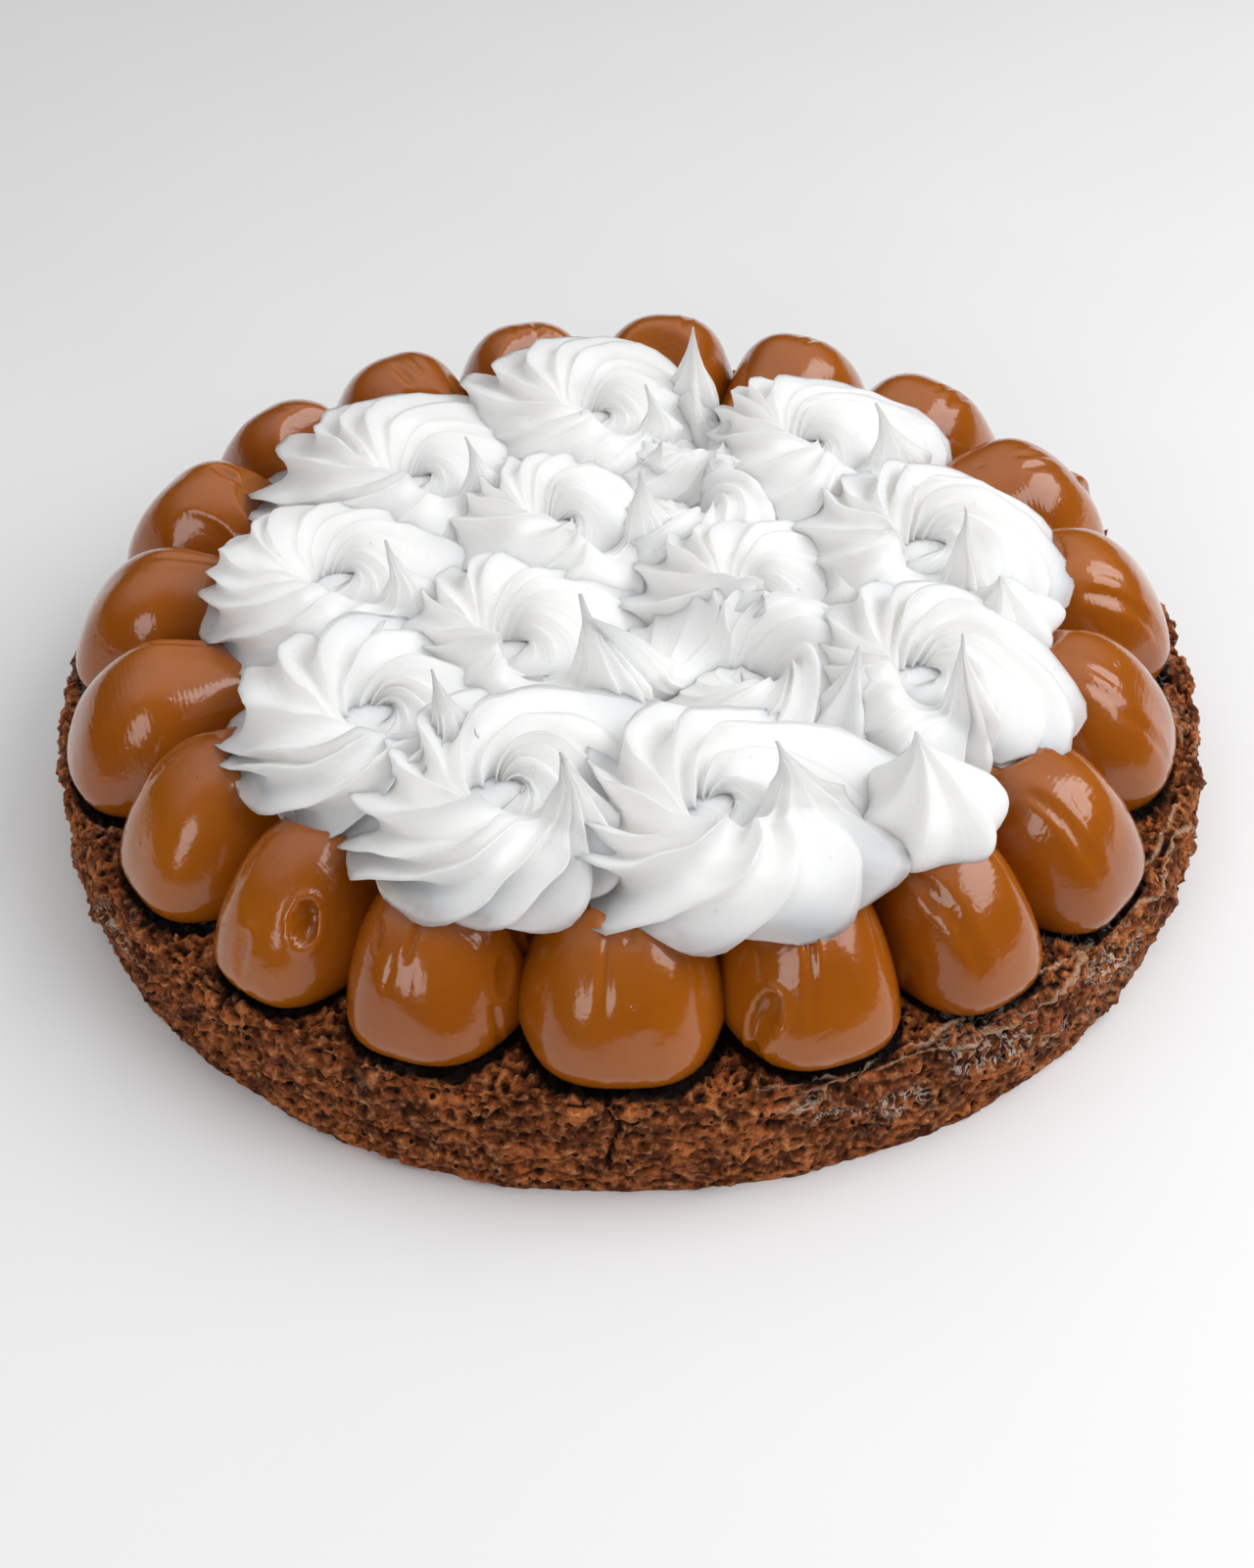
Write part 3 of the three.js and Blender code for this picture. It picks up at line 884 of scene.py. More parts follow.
@dataclass
class MoundRing:
    """The ring of piped caramel mounds and its shared sizes."""

    x: float = -0.5
    y: float = -2.0
    floor: float = 25.9
    inner: float = 63.4
    crest_back: float = 23.5
    height: float = 28.6
    tail_share: float = 0.58
    tail_bend: float = 1.3
    overfill: float = 1.1
    gap: float = 0.1
    gap_from: float = 100.0
    gap_span: float = 16.0
    belly: float = 4.8
    tuck: float = 1.7
    apex: float = 90.0
    inner_round: float = 9.0
    flat_top: float = 2.7
    dome: float = 0.74
    sink_back: float = 1.12
    deepest_sink: float = 8.0
    clearance: float = 0.9
    directions: tuple[float, ...] = (
        248.4, 269.5, 289.1, 305, 320.2, 340.8, 361.5, 383.5, 403.4, 424.1,
        442.8, 463.8, 482.3, 502, 518.6, 538.3, 556.8, 576.2, 593.4,
    )
    outers: tuple[float, ...] = (
        122, 121.8, 123.5, 125.5, 126, 121.5, 122, 122, 122, 121.5,
        123, 122.5, 122, 123, 124, 123, 123, 121.5, 122,
    )

    def half_step(self, index: int, side: Array) -> Array:
        """Half of the angle from a mound to its neighbour.

        Args:
            index: number of the mound from 0.
            side: distances to the side of the mound's middle line, which choose the neighbour.

        Returns:
            The angles in radians.
        """
        here = self.directions[index]
        following = (*self.directions, self.directions[0] + 360)[index + 1]
        before = (self.directions[-1] - 360, *self.directions)[index]
        return np.radians(np.where(side > 0, following - here, here - before)) / 2

    def fullness(self, index: int, out: Array, side: Array) -> Array:
        """Grows from 0 over the crest of a mound to 1 on its widest outline.

        Args:
            index: number of the mound from 0.
            out: distance out from the ring's middle.
            side: distance to the side of the mound's middle line.

        Returns:
            The value for each place.
        """
        crest = self.outers[index] - self.crest_back
        fill = self.overfill - self.gap * eased((out - self.gap_from) / self.gap_span)
        half = np.maximum(out, 1.0) * np.tan(self.half_step(index, side)) * fill
        past = np.maximum(0, out - crest) / self.crest_back
        inward = np.maximum(0, self.inner + self.inner_round - out) / self.inner_round
        return (np.abs(side) / half) ** self.flat_top + past**2 + inward**self.flat_top

    def top(self, index: int, out: Array, side: Array) -> Array:
        """Height of the mound's upper surface.

        Args:
            index: number of the mound from 0.
            out: distance out from the ring's middle.
            side: distance to the side.

        Returns:
            Heights, those of the widest outline where the place lies outside the mound.
        """
        crest = self.outers[index] - self.crest_back
        inward = np.clip((crest - out) / (crest - self.inner), 0, 1)
        crest_share = 1 - (1 - self.tail_share) * inward**self.tail_bend
        round_share = np.clip(1 - self.fullness(index, out, side), 0, 1) ** self.dome
        return self.floor + self.belly + (self.height * crest_share - self.belly) * round_share

    def hung(self, placed: Array, plane: Array) -> Array:
        """Lets meringue that reaches over the outer slopes of the mounds sink onto them.

        The front of the cake sinks towards its middle, so that its outline keeps its place as seen
        from the front.

        Args:
            placed: points of the meringue in the cake's frame.
            plane: height of the foot below each point.

        Returns:
            The sunk points.
        """
        out = np.hypot(placed[..., 0] - self.x, placed[..., 1] - self.y)
        front = np.clip(-placed[..., 1] / np.maximum(out, 1), 0, 1) * self.sink_back
        crest = float(np.mean(self.outers)) - self.crest_back
        sunk = np.zeros(out.shape)
        for _ in range(8):
            past = np.clip((out - front * sunk - crest) / self.crest_back, 0, 0.98)
            round_share = (1 - past**2) ** self.dome
            slope = self.floor + self.belly + (self.height - self.belly) * round_share
            sunk = 0.5 * (sunk + np.clip(plane - slope - self.clearance, 0, self.deepest_sink))
        hanging = placed.copy()
        hanging[..., 1] += front * sunk
        hanging[..., 2] -= sunk
        return hanging

    def local(self, index: int, x: Array, y: Array) -> tuple[Array, Array]:
        """Distances out and to the side of places in plan, for the mound with an index."""
        return turned(x - self.x, y - self.y, math.radians(self.directions[index]))


@dataclass
class CaramelMound:
    """One piped mound: a round head at the rim of the cake and a tail under the meringue."""

    ring: MoundRing
    index: int
    layout: Layout
    undercut: float = 0.4 * math.pi
    lower_rows: int = 7
    fade: float = 4.0
    waves: tuple[Triple, ...] = ((0.45, 17.0, 0.0), (0.18, 7.0, 50.0))
    carved_depth: float = 2.0
    sunk: float = 0.3
    edge_share: float = 0.9
    edge_slope: float = 1.2
    least: float = 1.0

    def __post_init__(self) -> None:
        """Looks up the mound's marks and picks a mesh that is fine enough for them."""
        self.marks = mound_marks(self.index + 1)
        dimples = [mark for mark in self.marks if isinstance(mark, Dimple)]
        carved = any(dimple.depth > self.carved_depth for dimple in dimples)
        self.columns, self.upper_rows = (216, 74) if carved else (120, 42)
        self.noise = LatticeNoise(500 + self.index)

    def outline(self) -> tuple[Array, Array]:
        """Finds how far the mound reaches on each column of its mesh.

        Returns:
            Directions of the columns from the apex, and the distance to the outline on each.
        """
        turn = np.linspace(0, 2 * np.pi, self.columns, endpoint=False)
        near = np.zeros(self.columns)
        far = np.full(self.columns, 70.0)
        for _ in range(30):
            half = 0.5 * (near + far)
            out = self.ring.apex + half * np.cos(turn)
            inside = self.ring.fullness(self.index, out, half * np.sin(turn)) < 1
            near = np.where(inside, half, near)
            far = np.where(inside, far, half)
        return turn, near

    def build(self, finish: bpy.types.Material) -> None:
        """Makes the mound's object.

        Args:
            finish: the caramel's material.
        """
        ring = self.ring
        turn, reach = self.outline()
        under = np.linspace(-self.undercut, 0, self.lower_rows, endpoint=False)[:, None]
        over = np.linspace(0, 0.5 * np.pi, self.upper_rows, endpoint=False)[:, None]
        inset = ring.tuck * (1 - np.cos(under)) / (1 - math.cos(self.undercut))
        local = ring_points(np.concatenate([reach - inset, np.cos(over) * reach]), turn, 0.0)
        local[..., 0] += ring.apex
        local[..., 2] = ring.top(self.index, local[..., 0], local[..., 1])
        rise = 1 + np.sin(under) / math.sin(self.undercut)
        local[: self.lower_rows, :, 2] = ring.floor + ring.belly * rise
        local = local.reshape(-1, 3)
        facing = np.repeat(np.concatenate([under, over]), self.columns)
        around = np.tile(turn, self.lower_rows + self.upper_rows)
        out, side, z = local.T
        relief = sum(mark.relief(out, side) for mark in self.marks)
        for depth, grain, shift in self.waves:
            relief += depth * self.noise.at(local + shift, grain)
        relief *= np.clip((z - ring.floor) / self.fade, 0, 1)
        moved = local + ring_points(np.cos(facing), around, np.sin(facing)) * relief[:, None]
        apex_z = float(ring.top(self.index, np.array(ring.apex), np.array(0.0)))
        moved = np.concatenate([moved, [[ring.apex, 0, ring.floor], [ring.apex, 0, apex_z]]])
        x, y = turned(moved[:, 0], moved[:, 1], -math.radians(ring.directions[self.index]))
        points = self.pressed(np.stack([ring.x + x, ring.y + y, moved[:, 2]], axis=1))
        piece = Piece(f"mound_{self.index + 1:02d}", points, self.columns)
        piece.paint_values("outward", np.concatenate([out, [ring.apex, ring.apex]]))
        piece.dress(finish, [f"caramel_mound_{self.index + 1:02d}"])

    def pressed(self, points: Array) -> Array:
        """Presses the caramel down where meringue lies on it.

        Args:
            points: places on the mound in the cake's frame.

        Returns:
            The places after.
        """
        x, y, height = points.T
        for piece in self.layout.pieces():
            dx, dy = x - piece.x, y - piece.y
            edge = self.edge_share * piece.reach * piece.spread(np.arctan2(dy, dx))
            beyond = np.maximum(0, np.hypot(dx, dy) - edge)
            limit = piece.foot_height(x, y) - self.sunk + self.edge_slope * beyond
            height = np.minimum(height, np.maximum(limit, self.ring.floor + self.least))
        return np.stack([x, y, np.maximum(height, self.ring.floor)], axis=1)


# Brownie


@dataclass
class BrownieDisc:
    """The baked disc: a crumbled side in flat layers, a broken rim and a rough ledge.

    Pairs for noise hold its grain and depth, and triples for pits and grains their cell, the share
    of the cells that hold one and the radius. A rise is one at the side and one on the ledge.
    """

    radius: float = 128.4
    height: float = 25.7
    columns: int = 1300
    side_rows: int = 40
    ledge_rows: int = 26
    ledge_inner: float = 108.0
    rim_round: float = 1.6
    seed: int = 41
    swell: Pair = (24.0, 0.6)
    lumps: Pair = (8.0, 0.8)
    strata: Pair = (6.0, 1.05)
    fine: Pair = (1.3, 0.5)
    coarse_grains: Triple = (3.0, 0.7, 2.1)
    small_grains: Triple = (1.5, 0.8, 1.05)
    coarse_rise: Pair = (0.25, 1.75)
    small_rise: Pair = (0.45, 0.95)
    grain_middle: float = 0.3
    holes: Triple = (5.4, 0.34, 2.6)
    hole_depth: float = 3.4
    pores: Triple = (2.3, 0.5, 1.2)
    pore_depth: float = 2.2
    layer_squash: float = 2.8
    warp: Pair = (4.0, 1.1)
    crack_directions: tuple[float, ...] = (268.2, 231, 300.5, 332, 20, 71, 118, 158, 196)
    crack_depth: float = 1.8
    crack_width: float = 0.8
    crack_wander: Pair = (5.0, 0.014)
    chips: Pair = (7.0, 2.6)
    crust_height: float = 17.0
    crust_band: float = 7.0
    lip_offsets: Pair = (-1.2, 3.2)
    lip_wander: Pair = (13.0, 2.6)
    lip_width: float = 0.6
    lip_rise: float = 0.8
    lip_direction: float = -42.0
    lip_reach: float = 48.0
    bulge: float = 2.0
    bulge_direction: float = -40.0
    bulge_reach: float = 30.0
    cavity: float = 0.75
    # Painted shade on the ledge round the mounds: how far out it starts, up to what fullness of a
    # mound it reaches and how softly it fades.
    mound_shade_from: float = 80.0
    mound_shade_reach: float = 1.17
    mound_shade_fade: float = 0.15

    def profile(self) -> tuple[Array, Array, Array]:
        """Side and ledge in section, from the foot to the inner edge of the ledge.

        Returns:
            Radius, height and the direction that the surface faces as an angle above level.
        """
        low = np.linspace(0, 1, self.side_rows)
        side = self.radius - self.rim_round + 1.1 * np.sin(np.pi * low) ** 0.7 - 0.5 * low
        turn = np.linspace(0, 0.5 * np.pi, 6)[1:]
        rim = side[-1] - self.rim_round * (1 - np.cos(turn))
        ledge = np.linspace(rim[-1], self.ledge_inner, self.ledge_rows + 1)[1:]
        rim_z = self.height - self.rim_round * (1 - np.sin(turn))
        top = np.ones(self.ledge_rows)
        return (
            np.concatenate([side, rim, ledge]),
            np.concatenate([low * (self.height - self.rim_round), rim_z, self.height * top]),
            np.concatenate([0 * low, turn, 0.5 * np.pi * top]),
        )

    def relief(self, points: Array, facing: Array, angle: Array) -> tuple[Array, Array]:
        """How far the crumb stands out of the smooth form.

        Args:
            points: smooth places.
            facing: angle above level that the surface faces at each place.
            angle: direction of each place round the disc.

        Returns:
            The relief in millimetres and a 0 to 1 value that is high in holes, pores and cracks,
            where shade is painted.
        """
        noise = LatticeNoise(self.seed)
        pits = Pits(self.seed + 1)
        grains = Pits(self.seed + 2)
        bent = points + self.warp[1] * noise.vectors(points, self.warp[0], (0.0, 200.0, 400.0))
        flat = bent * np.array([1.0, 1.0, self.layer_squash])
        on_ledge = np.clip(facing / 1.2, 0, 1)
        relief = self.swell[1] * noise.at(points, self.swell[0])
        relief += self.lumps[1] * noise.layered(bent, self.lumps[0], 2)
        relief += self.strata[1] * noise.layered(flat, self.strata[0], 3) * (1 - 0.6 * on_ledge)
        relief += self.fine[1] * noise.layered(points + 90.0, self.fine[0], 1)
        for shift, sizes, (low, high) in (
            (0.0, self.coarse_grains, self.coarse_rise),
            (57.0, self.small_grains, self.small_rise),
        ):
            raised = grains.depth(bent + shift, *sizes) - self.grain_middle
            relief += (low + (high - low) * on_ledge) * raised
        holes = pits.depth(flat, *self.holes)
        pores = pits.depth(flat + 31.0, *self.pores)
        cracks = np.zeros(len(points))
        for number, direction in enumerate(self.crack_directions):
            path = points[:, 2:] * [1, 0, 0] + [0, 7.0 * number, 0]
            wander = self.crack_wander[1] * noise.at(path, self.crack_wander[0])
            away = turn_from(angle - wander, direction) * self.radius
            reach = eased((points[:, 2] - (6 + 3 * (number % 3))) / 5.0)
            cracks = np.maximum(cracks, reach * np.clip(1 - away / self.crack_width, 0, 1))
        relief -= self.hole_depth * holes + self.pore_depth * pores + self.crack_depth * cracks
        return relief, np.clip(1.6 * holes + 1.3 * pores + cracks - 0.15, 0, 1)

    def crust(self, points: Array) -> Array:
        """Where thin pale flakes of crust lie.

        Args:
            points: places on the disc.

        Returns:
            0 to 1 for each place.
        """
        patch = LatticeNoise(self.seed + 9).layered(points * np.array([1.0, 1.0, 1.6]), 17.0, 2)
        return eased((patch - 0.08) / 0.3) * bell(points[:, 2] - self.crust_height, self.crust_band)

    def lips(self, angle: Array, arc: Array) -> Array:
        """Thin raised edges of torn crust that run along the rim.

        Args:
            angle: direction of each place round the disc.
            arc: way up the side and in over the ledge to each place.

        Returns:
            0 to 1 for each place, strongest on one side of the disc.
        """
        noise = LatticeNoise(self.seed + 7)
        strong = eased(1.3 - turn_from(angle, self.lip_direction) / math.radians(self.lip_reach))
        total = np.zeros(len(angle))
        for number, offset in enumerate(self.lip_offsets):
            line = ring_points(self.radius, angle, 40.0 * number)
            wander = self.lip_wander[1] * noise.layered(line, self.lip_wander[0], 3)
            kept = eased((noise.at(line + 60.0, 11.0) + 0.3) / 0.3)
            away = arc - self.height - offset - wander
            total = np.maximum(total, kept * bell(away, self.lip_width))
        return total * (0.25 + 0.75 * strong)

    def mound_shade(self, points: Array, mounds: MoundRing) -> Array:
        """Painted shade on the crumb, dark where a mound stands over it.

        Args:
            points: places on the disc.
            mounds: the ring of caramel mounds.

        Returns:
            0 to 1 for each place.
        """
        full = np.full(len(points), FAR)
        for index in range(len(mounds.directions)):
            out, side = mounds.local(index, points[:, 0], points[:, 1])
            over = np.where(out > self.mound_shade_from, mounds.fullness(index, out, side), FAR)
            full = np.minimum(full, over)
        return eased((self.mound_shade_reach - full) / self.mound_shade_fade)

    def stands(self, relief: Array) -> Array:
        """How far each place stands over those around it.

        Args:
            relief: the relief of the crumb at all places.

        Returns:
            The heights in shares of the cavity size.
        """
        grid = relief.reshape(-1, self.columns)
        smooth = grid
        for axis in (0, 1):
            smooth = np.mean([np.roll(smooth, step, axis=axis) for step in range(-2, 3)], axis=0)
        return (grid - smooth).ravel() / self.cavity

    def build(self, finish: bpy.types.Material, mounds: MoundRing) -> None:
        """Makes the disc's object.

        Args:
            finish: the brownie's material.
            mounds: the ring of caramel mounds on top.
        """
        profile = self.profile()
        wide, level, face = (np.repeat(values, self.columns) for values in profile)
        around = np.tile(np.linspace(0, 2 * np.pi, self.columns, endpoint=False), len(profile[0]))
        outer = np.clip((wide - self.ledge_inner) / (self.radius - self.ledge_inner), 0, 1)
        swollen = turn_from(around, self.bulge_direction)
        wide = wide + self.bulge * outer * bell(swollen, math.radians(self.bulge_reach))
        points = ring_points(wide, around, level)
        relief, holes = self.relief(points, face, around)
        inwards = np.maximum(0, self.radius - 1.5 - wide) * np.clip(face, 0, 1)
        lips = self.lips(around, level + inwards)
        broken = LatticeNoise(self.seed + 5).layered(points + 11.0, self.chips[0], 3)
        chips = np.clip(broken - 0.1, 0, 1) * bell(face - 0.6, 0.5)
        relief += self.lip_rise * lips - self.chips[1] * chips
        relief *= np.where(face == 0, 0.35 + 0.65 * eased(level / 2.0), 1.0)
        stands = self.stands(relief)
        relief *= np.where(face > 1.5, np.clip((wide - self.ledge_inner) / 4.0, 0, 1), 1.0)
        points = points + ring_points(np.cos(face), around, np.sin(face)) * relief[:, None]
        points[:, 2] = np.maximum(points[:, 2], 0.0)
        points[: self.columns, 2] = 0.0
        # Painted shade on the ledge under and round the feet of the mounds.
        mound_shade = np.where(face > 1.2, self.mound_shade(points, mounds), 0.0)
        ends = [[0, 0, 0], [0, 0, self.height]]
        piece = Piece("brownie_disc", np.concatenate([points, ends]), self.columns)
        # Painted shade mask: holes, pores and cracks, places lower than those around them, and the
        # ledge round the mounds.
        hollow = np.maximum.reduce([holes, -1.7 * stands - 0.15, mound_shade])
        piece.paint_values("hollow", np.clip(hollow, 0, 1))
        # Painted highlight mask: how far each place stands above those around it.
        piece.paint_values("raised", np.clip(stands, 0, 1))
        piece.paint_values("crust", self.crust(points))
        piece.paint_values("lip", lips)
        piece.dress(finish, ["brownie_base"])


# Meringue


FRACTIONS = np.array([0, 0.035, 0.1, 0.19, 0.3, 0.43, 0.58, 0.73, 0.86, 0.95])


def pipe(
    name: str, rings: Array, tip_end: float, noise: LatticeNoise, finish: bpy.types.Material
) -> None:
    """Makes the object of a swirl or a drop.

    Numbers that run round it are painted on, so that streaks follow the way it was pressed out.

    Args:
        name: kind and number of the piece.
        rings: its rings of points in the cake's frame, each with a column for every fraction of
            the way from one crest to the next.
        tip_end: how far the last point stands over the last ring.
        noise: lets the streaks wander a little.
        finish: the meringue's material.
    """
    rows, columns = rings.shape[:2]
    ends = [rings[0].mean(axis=0), rings[-1].mean(axis=0) + np.array([0, 0, tip_end])]
    points = np.concatenate([rings.reshape(-1, 3), ends])
    strand = np.tile((np.arange(columns // len(FRACTIONS))[:, None] + FRACTIONS).ravel(), rows)
    piece = Piece(name, points, columns)
    piece.paint_values("strand", np.concatenate([strand, [0, 0]]) + 0.12 * noise.at(points, 7.0))
    piece.dress(finish, [f"meringue_{name}"])


@dataclass
class RopeForm:
    """Form of the rope of meringue that a star nozzle lays."""

    teeth: int = 12
    flute: float = 0.4
    deepest: float = 0.4
    riser: float = 1.8
    slope: float = 2.6
    blunt: float = 0.14
    waves: tuple[Pair, ...] = ((8.5, 1.0), (3.6, 0.32))
    even: float = 0.75
    strong: float = 115.0
    drag: float = 0.04
    wobble: float = 0.07
    uneven_depth: float = 0.3
    hook: float = 0.1
    crest_gain: float = 0.3
    tongue: float = 0.42
    tongue_span: float = 0.36
    tongue_level: float = 0.35
    eye_wall: float = 0.84
    inner_flat: float = 0.45
    rope_share: float = 0.44
    belly: float = 1.8
    underside: float = 3.0
    step: float = 1.25
    turn: float = 425.0
    lean: float = 2.0
    bend_steps: int = 26
    bend_reach: float = 0.62
    bend_rise: float = 0.55
    column_steps: int = 16
    column_share: float = 0.29
    column_flute: float = 0.45
    tip_share: float = 0.018
    cap_steps: int = 8
    cap_share: float = 0.86
    cap_flute: float = 0.08
    young: float = 30.0
    overlap: float = 1.4


@dataclass
class MeringueSwirl:
    """One swirl: a fluted rope laid counterclockwise round an eye and pulled up into a tip.

    The nozzle keeps its heading, so each of its teeth draws a crest that starts at the outer
    edge, winds over the rope and ends in the eye or in the tip.
    """

    place: SwirlPlace
    layout: Layout
    mounds: MoundRing
    form: RopeForm = field(default_factory=RopeForm)
    tip_end: float = 0.15
    sectors: int = 72
    growth: Pair = (0.75, 1.9)

    def __post_init__(self) -> None:
        """Picks the swirl's own irregularities by its number."""
        place, form = self.place, self.form
        self.noise = LatticeNoise(place.number + 300)
        random = np.random.default_rng(place.number)
        if place.crests:
            self.crests = np.radians(place.crests)
        else:
            pitch = 2 * math.pi / form.teeth
            shift = random.uniform(-0.3, 0.3, form.teeth) * pitch
            self.crests = math.radians(place.teeth) + np.arange(form.teeth) * pitch + shift
        self.depths = place.ruffle * random.uniform(0.6, 1.3, len(self.crests))
        if not place.crests:
            outer = place.out() > place.SLOPE_FROM
            strong = math.atan2(place.y, place.x) if outer else math.radians(form.strong)
            self.depths *= form.even + (1 - form.even) * np.cos(self.crests - strong)
        self.half = place.reach * form.rope_share
        self.columns = self.headings()

    def flute_depth(self, fraction: Array) -> Array:
        """Depth of the surface between two crests: a steep riser, then a long slope.

        Args:
            fraction: share of the way from one crest to the next.

        Returns:
            0 on a crest and 1 at the deepest place.
        """
        form = self.form
        riser = 1 - (1 - np.clip(fraction / form.deepest, 0, 1)) ** form.riser
        slope = 1 - np.clip((fraction - form.deepest) / (1 - form.deepest), 0, 1) ** form.slope
        depth = np.where(fraction < form.deepest, riser, slope)
        return (np.hypot(depth, form.blunt) - form.blunt) / (math.hypot(1, form.blunt) - form.blunt)

    def headings(self) -> tuple[Array, Array, Array]:
        """Absolute directions of the mesh columns.

        Returns:
            Direction of each column, depth of its place between the crests, and the strength of
            the crests there.
        """
        depth = self.flute_depth(FRACTIONS)
        hooked = FRACTIONS + self.form.hook * np.maximum(0, 1 - depth) ** 3
        gaps = np.diff(self.crests, append=self.crests[0] + 2 * math.pi)
        growth = np.roll(self.depths, -1) - self.depths
        directions = self.crests[:, None] + gaps[:, None] * hooked
        strengths = self.depths[:, None] + growth[:, None] * FRACTIONS
        return directions.ravel(), np.tile(depth, len(gaps)), strengths.ravel()

    def path(self) -> tuple[Array, Array, Array]:
        """Way of the nozzle in plan, in even steps and relative to the eye.

        Returns:
            Points, unit directions of travel, and the angle still to go before the end in degrees.
        """
        place = self.place
        form = self.form
        tip_x, tip_y = place.tip[0] - place.x, place.tip[1] - place.y
        far = place.reach - self.half
        end = min(math.hypot(tip_x, tip_y) + form.lean, far)
        to_go = np.linspace(form.turn, 0, 600)
        radius = np.interp(
            to_go,
            [0, 45, 100, 175, 240, 300, 360, form.turn],
            [end, 0.5 * (end + far), *(far * np.array([1, 0.95, 0.75, 0.45, 0.2, 0.02]))],
        )
        radius = np.convolve(np.pad(radius, 30, mode="edge"), np.ones(61) / 61, mode="valid")
        plan = ring_points(radius, math.atan2(tip_y, tip_x) - np.radians(to_go), 0.0)[:, :2]
        length = np.concatenate([[0], np.cumsum(np.linalg.norm(np.diff(plan, axis=0), axis=1))])
        even = np.linspace(0, length[-1], int(length[-1] / form.step) + 1)
        points = np.stack([np.interp(even, length, plan[:, axis]) for axis in (0, 1)], axis=1)
        ahead = np.gradient(points, axis=0)
        ahead /= np.linalg.norm(ahead, axis=1, keepdims=True)
        return points, ahead, np.interp(even, length, to_go)

    def ring(self, middle: Array, along: Array, up: Array, half: Triple, flute: float) -> Array:
        """One ring of the rope.

        Args:
            middle: middle of the section.
            along: horizontal direction of travel.
            up: unit direction of the section's upper side.
            half: half width, height above the middle and depth below it.
            flute: depth of the valleys as a share.

        Returns:
            The ring's points.
        """
        form = self.form
        directions, depths, strengths = self.columns
        outward = np.array([along[1], -along[0], 0.0])
        place = ring_points(9.0, directions, 0.0)
        wobble = self.noise.at(place + middle * np.array([0.45, 0.45, 0.2]), 5.0)
        delta = math.atan2(outward[1], outward[0]) - directions + form.wobble * wobble
        delta = delta + form.drag * np.sin(delta)
        cosine, sine = np.cos(delta), np.sin(delta)
        tongue = bell(turn_from(delta, 0.0), form.tongue_span) * min(1.0, flute / form.flute)
        valley = (1 + form.uneven_depth * wobble) * depths
        star = 1 + flute * strengths * (form.crest_gain - valley)
        star += form.tongue * tongue * strengths * ((1 - depths) ** 2 - form.tongue_level)
        inner = eased(-cosine / 0.7)
        star += form.inner_flat * inner * (1 - 0.5 * flute - star)
        vertical = np.where(sine > 0, half[1], half[2]) * sine * star
        sideways = half[0] * cosine * star * (1 - (1 - form.eye_wall) * inner)
        return middle + sideways[:, None] * outward + vertical[:, None] * up

    def rows(self) -> Array:
        """Rings of points of the rope and of the tip, from the start in the middle to the tip.

        Returns:
            Array of rings by columns by three, relative to the eye in plan, with true heights.
        """
        place = self.place
        form = self.form
        points, ahead, to_go = self.path()
        height = place.top - place.foot
        lift_share = np.interp(
            to_go, [0, 60, 140, 210, 280, 340, form.turn], [1, 0.99, 0.94, 0.88, 0.74, 0.52, 0.42]
        )
        length = np.arange(len(points)) * form.step
        reach = form.bend_reach * place.reach
        rise = form.bend_rise * height
        pivot = length[-1] - reach

        def section(at: float) -> tuple[Array, Array, Array]:
            """Measures the rope at one place.

            Args:
                at: length along the rope.

            Returns:
                Its middle, its direction of travel and its half sizes.
            """
            x, y, *along = (np.interp(at, length, values) for values in (*points.T, *ahead.T))
            share = np.interp(at, length, lift_share)
            foot = float(place.foot_height(np.array(place.x + x), np.array(place.y + y)))
            low = foot + form.belly * min(1.0, share + 0.12)
            above = place.foot + height * share - low
            half = np.array([self.half, above, form.belly + form.underside])
            return np.array([x, y, low]), np.array([*along, 0.0]) / math.hypot(*along), half

        start, along, half = section(0.0)
        cap = form.cap_share * self.half
        half[0] = cap
        flute = form.cap_flute * form.flute
        rings = []
        for step in range(1, form.cap_steps):
            turn = 0.5 * math.pi * step / form.cap_steps
            centre = start - along * cap * math.cos(turn)
            rings.append(self.ring(centre, along, UPRIGHT, half * math.sin(turn), flute))
        for at in length[length < pivot - 0.3 * form.step]:
            middle, along, half = section(at)
            young = min(1.0, at / form.young)
            half[0] *= form.cap_share + (1 - form.cap_share) * young
            flute = form.flute * (form.cap_flute + (1 - form.cap_flute) * young)
            rings.append(self.ring(middle, along, UPRIGHT, half, flute))
        middle, along, half = section(pivot)
        top_z = middle[2] + rise
        for step in range(form.bend_steps + 1):
            beta = 0.5 * math.pi * step / form.bend_steps
            share = float(eased(step / form.bend_steps)) ** 1.2
            here, along, _ = section(pivot + reach * math.sin(beta))
            centre = np.array([here[0], here[1], middle[2] + rise * (1 - math.cos(beta))])
            tilt = math.atan2(rise * math.sin(beta), reach * math.cos(beta))
            up = UPRIGHT * math.cos(tilt) - along * math.sin(tilt)
            size = half + (form.column_share * self.half - half) * share
            flute = form.flute + (form.column_flute - form.flute) * share
            rings.append(self.ring(centre, along, up, size, flute))
        end, along, _ = section(length[-1])
        base = np.array([end[0], end[1], top_z])
        tip = np.array([place.tip[0] - place.x, place.tip[1] - place.y, place.tip[2] + 1.0])
        for step in range(1, form.column_steps + 1):
            part = step / form.column_steps
            centre = base + (tip - base) * np.array([part**1.6, part**1.6, part])
            thin = form.tip_share + (form.column_share - form.tip_share) * (1 - part) ** 1.7
            size = (self.half * thin,) * 3
            rings.append(self.ring(centre, along, -along, size, form.column_flute))
        return np.array(rings)

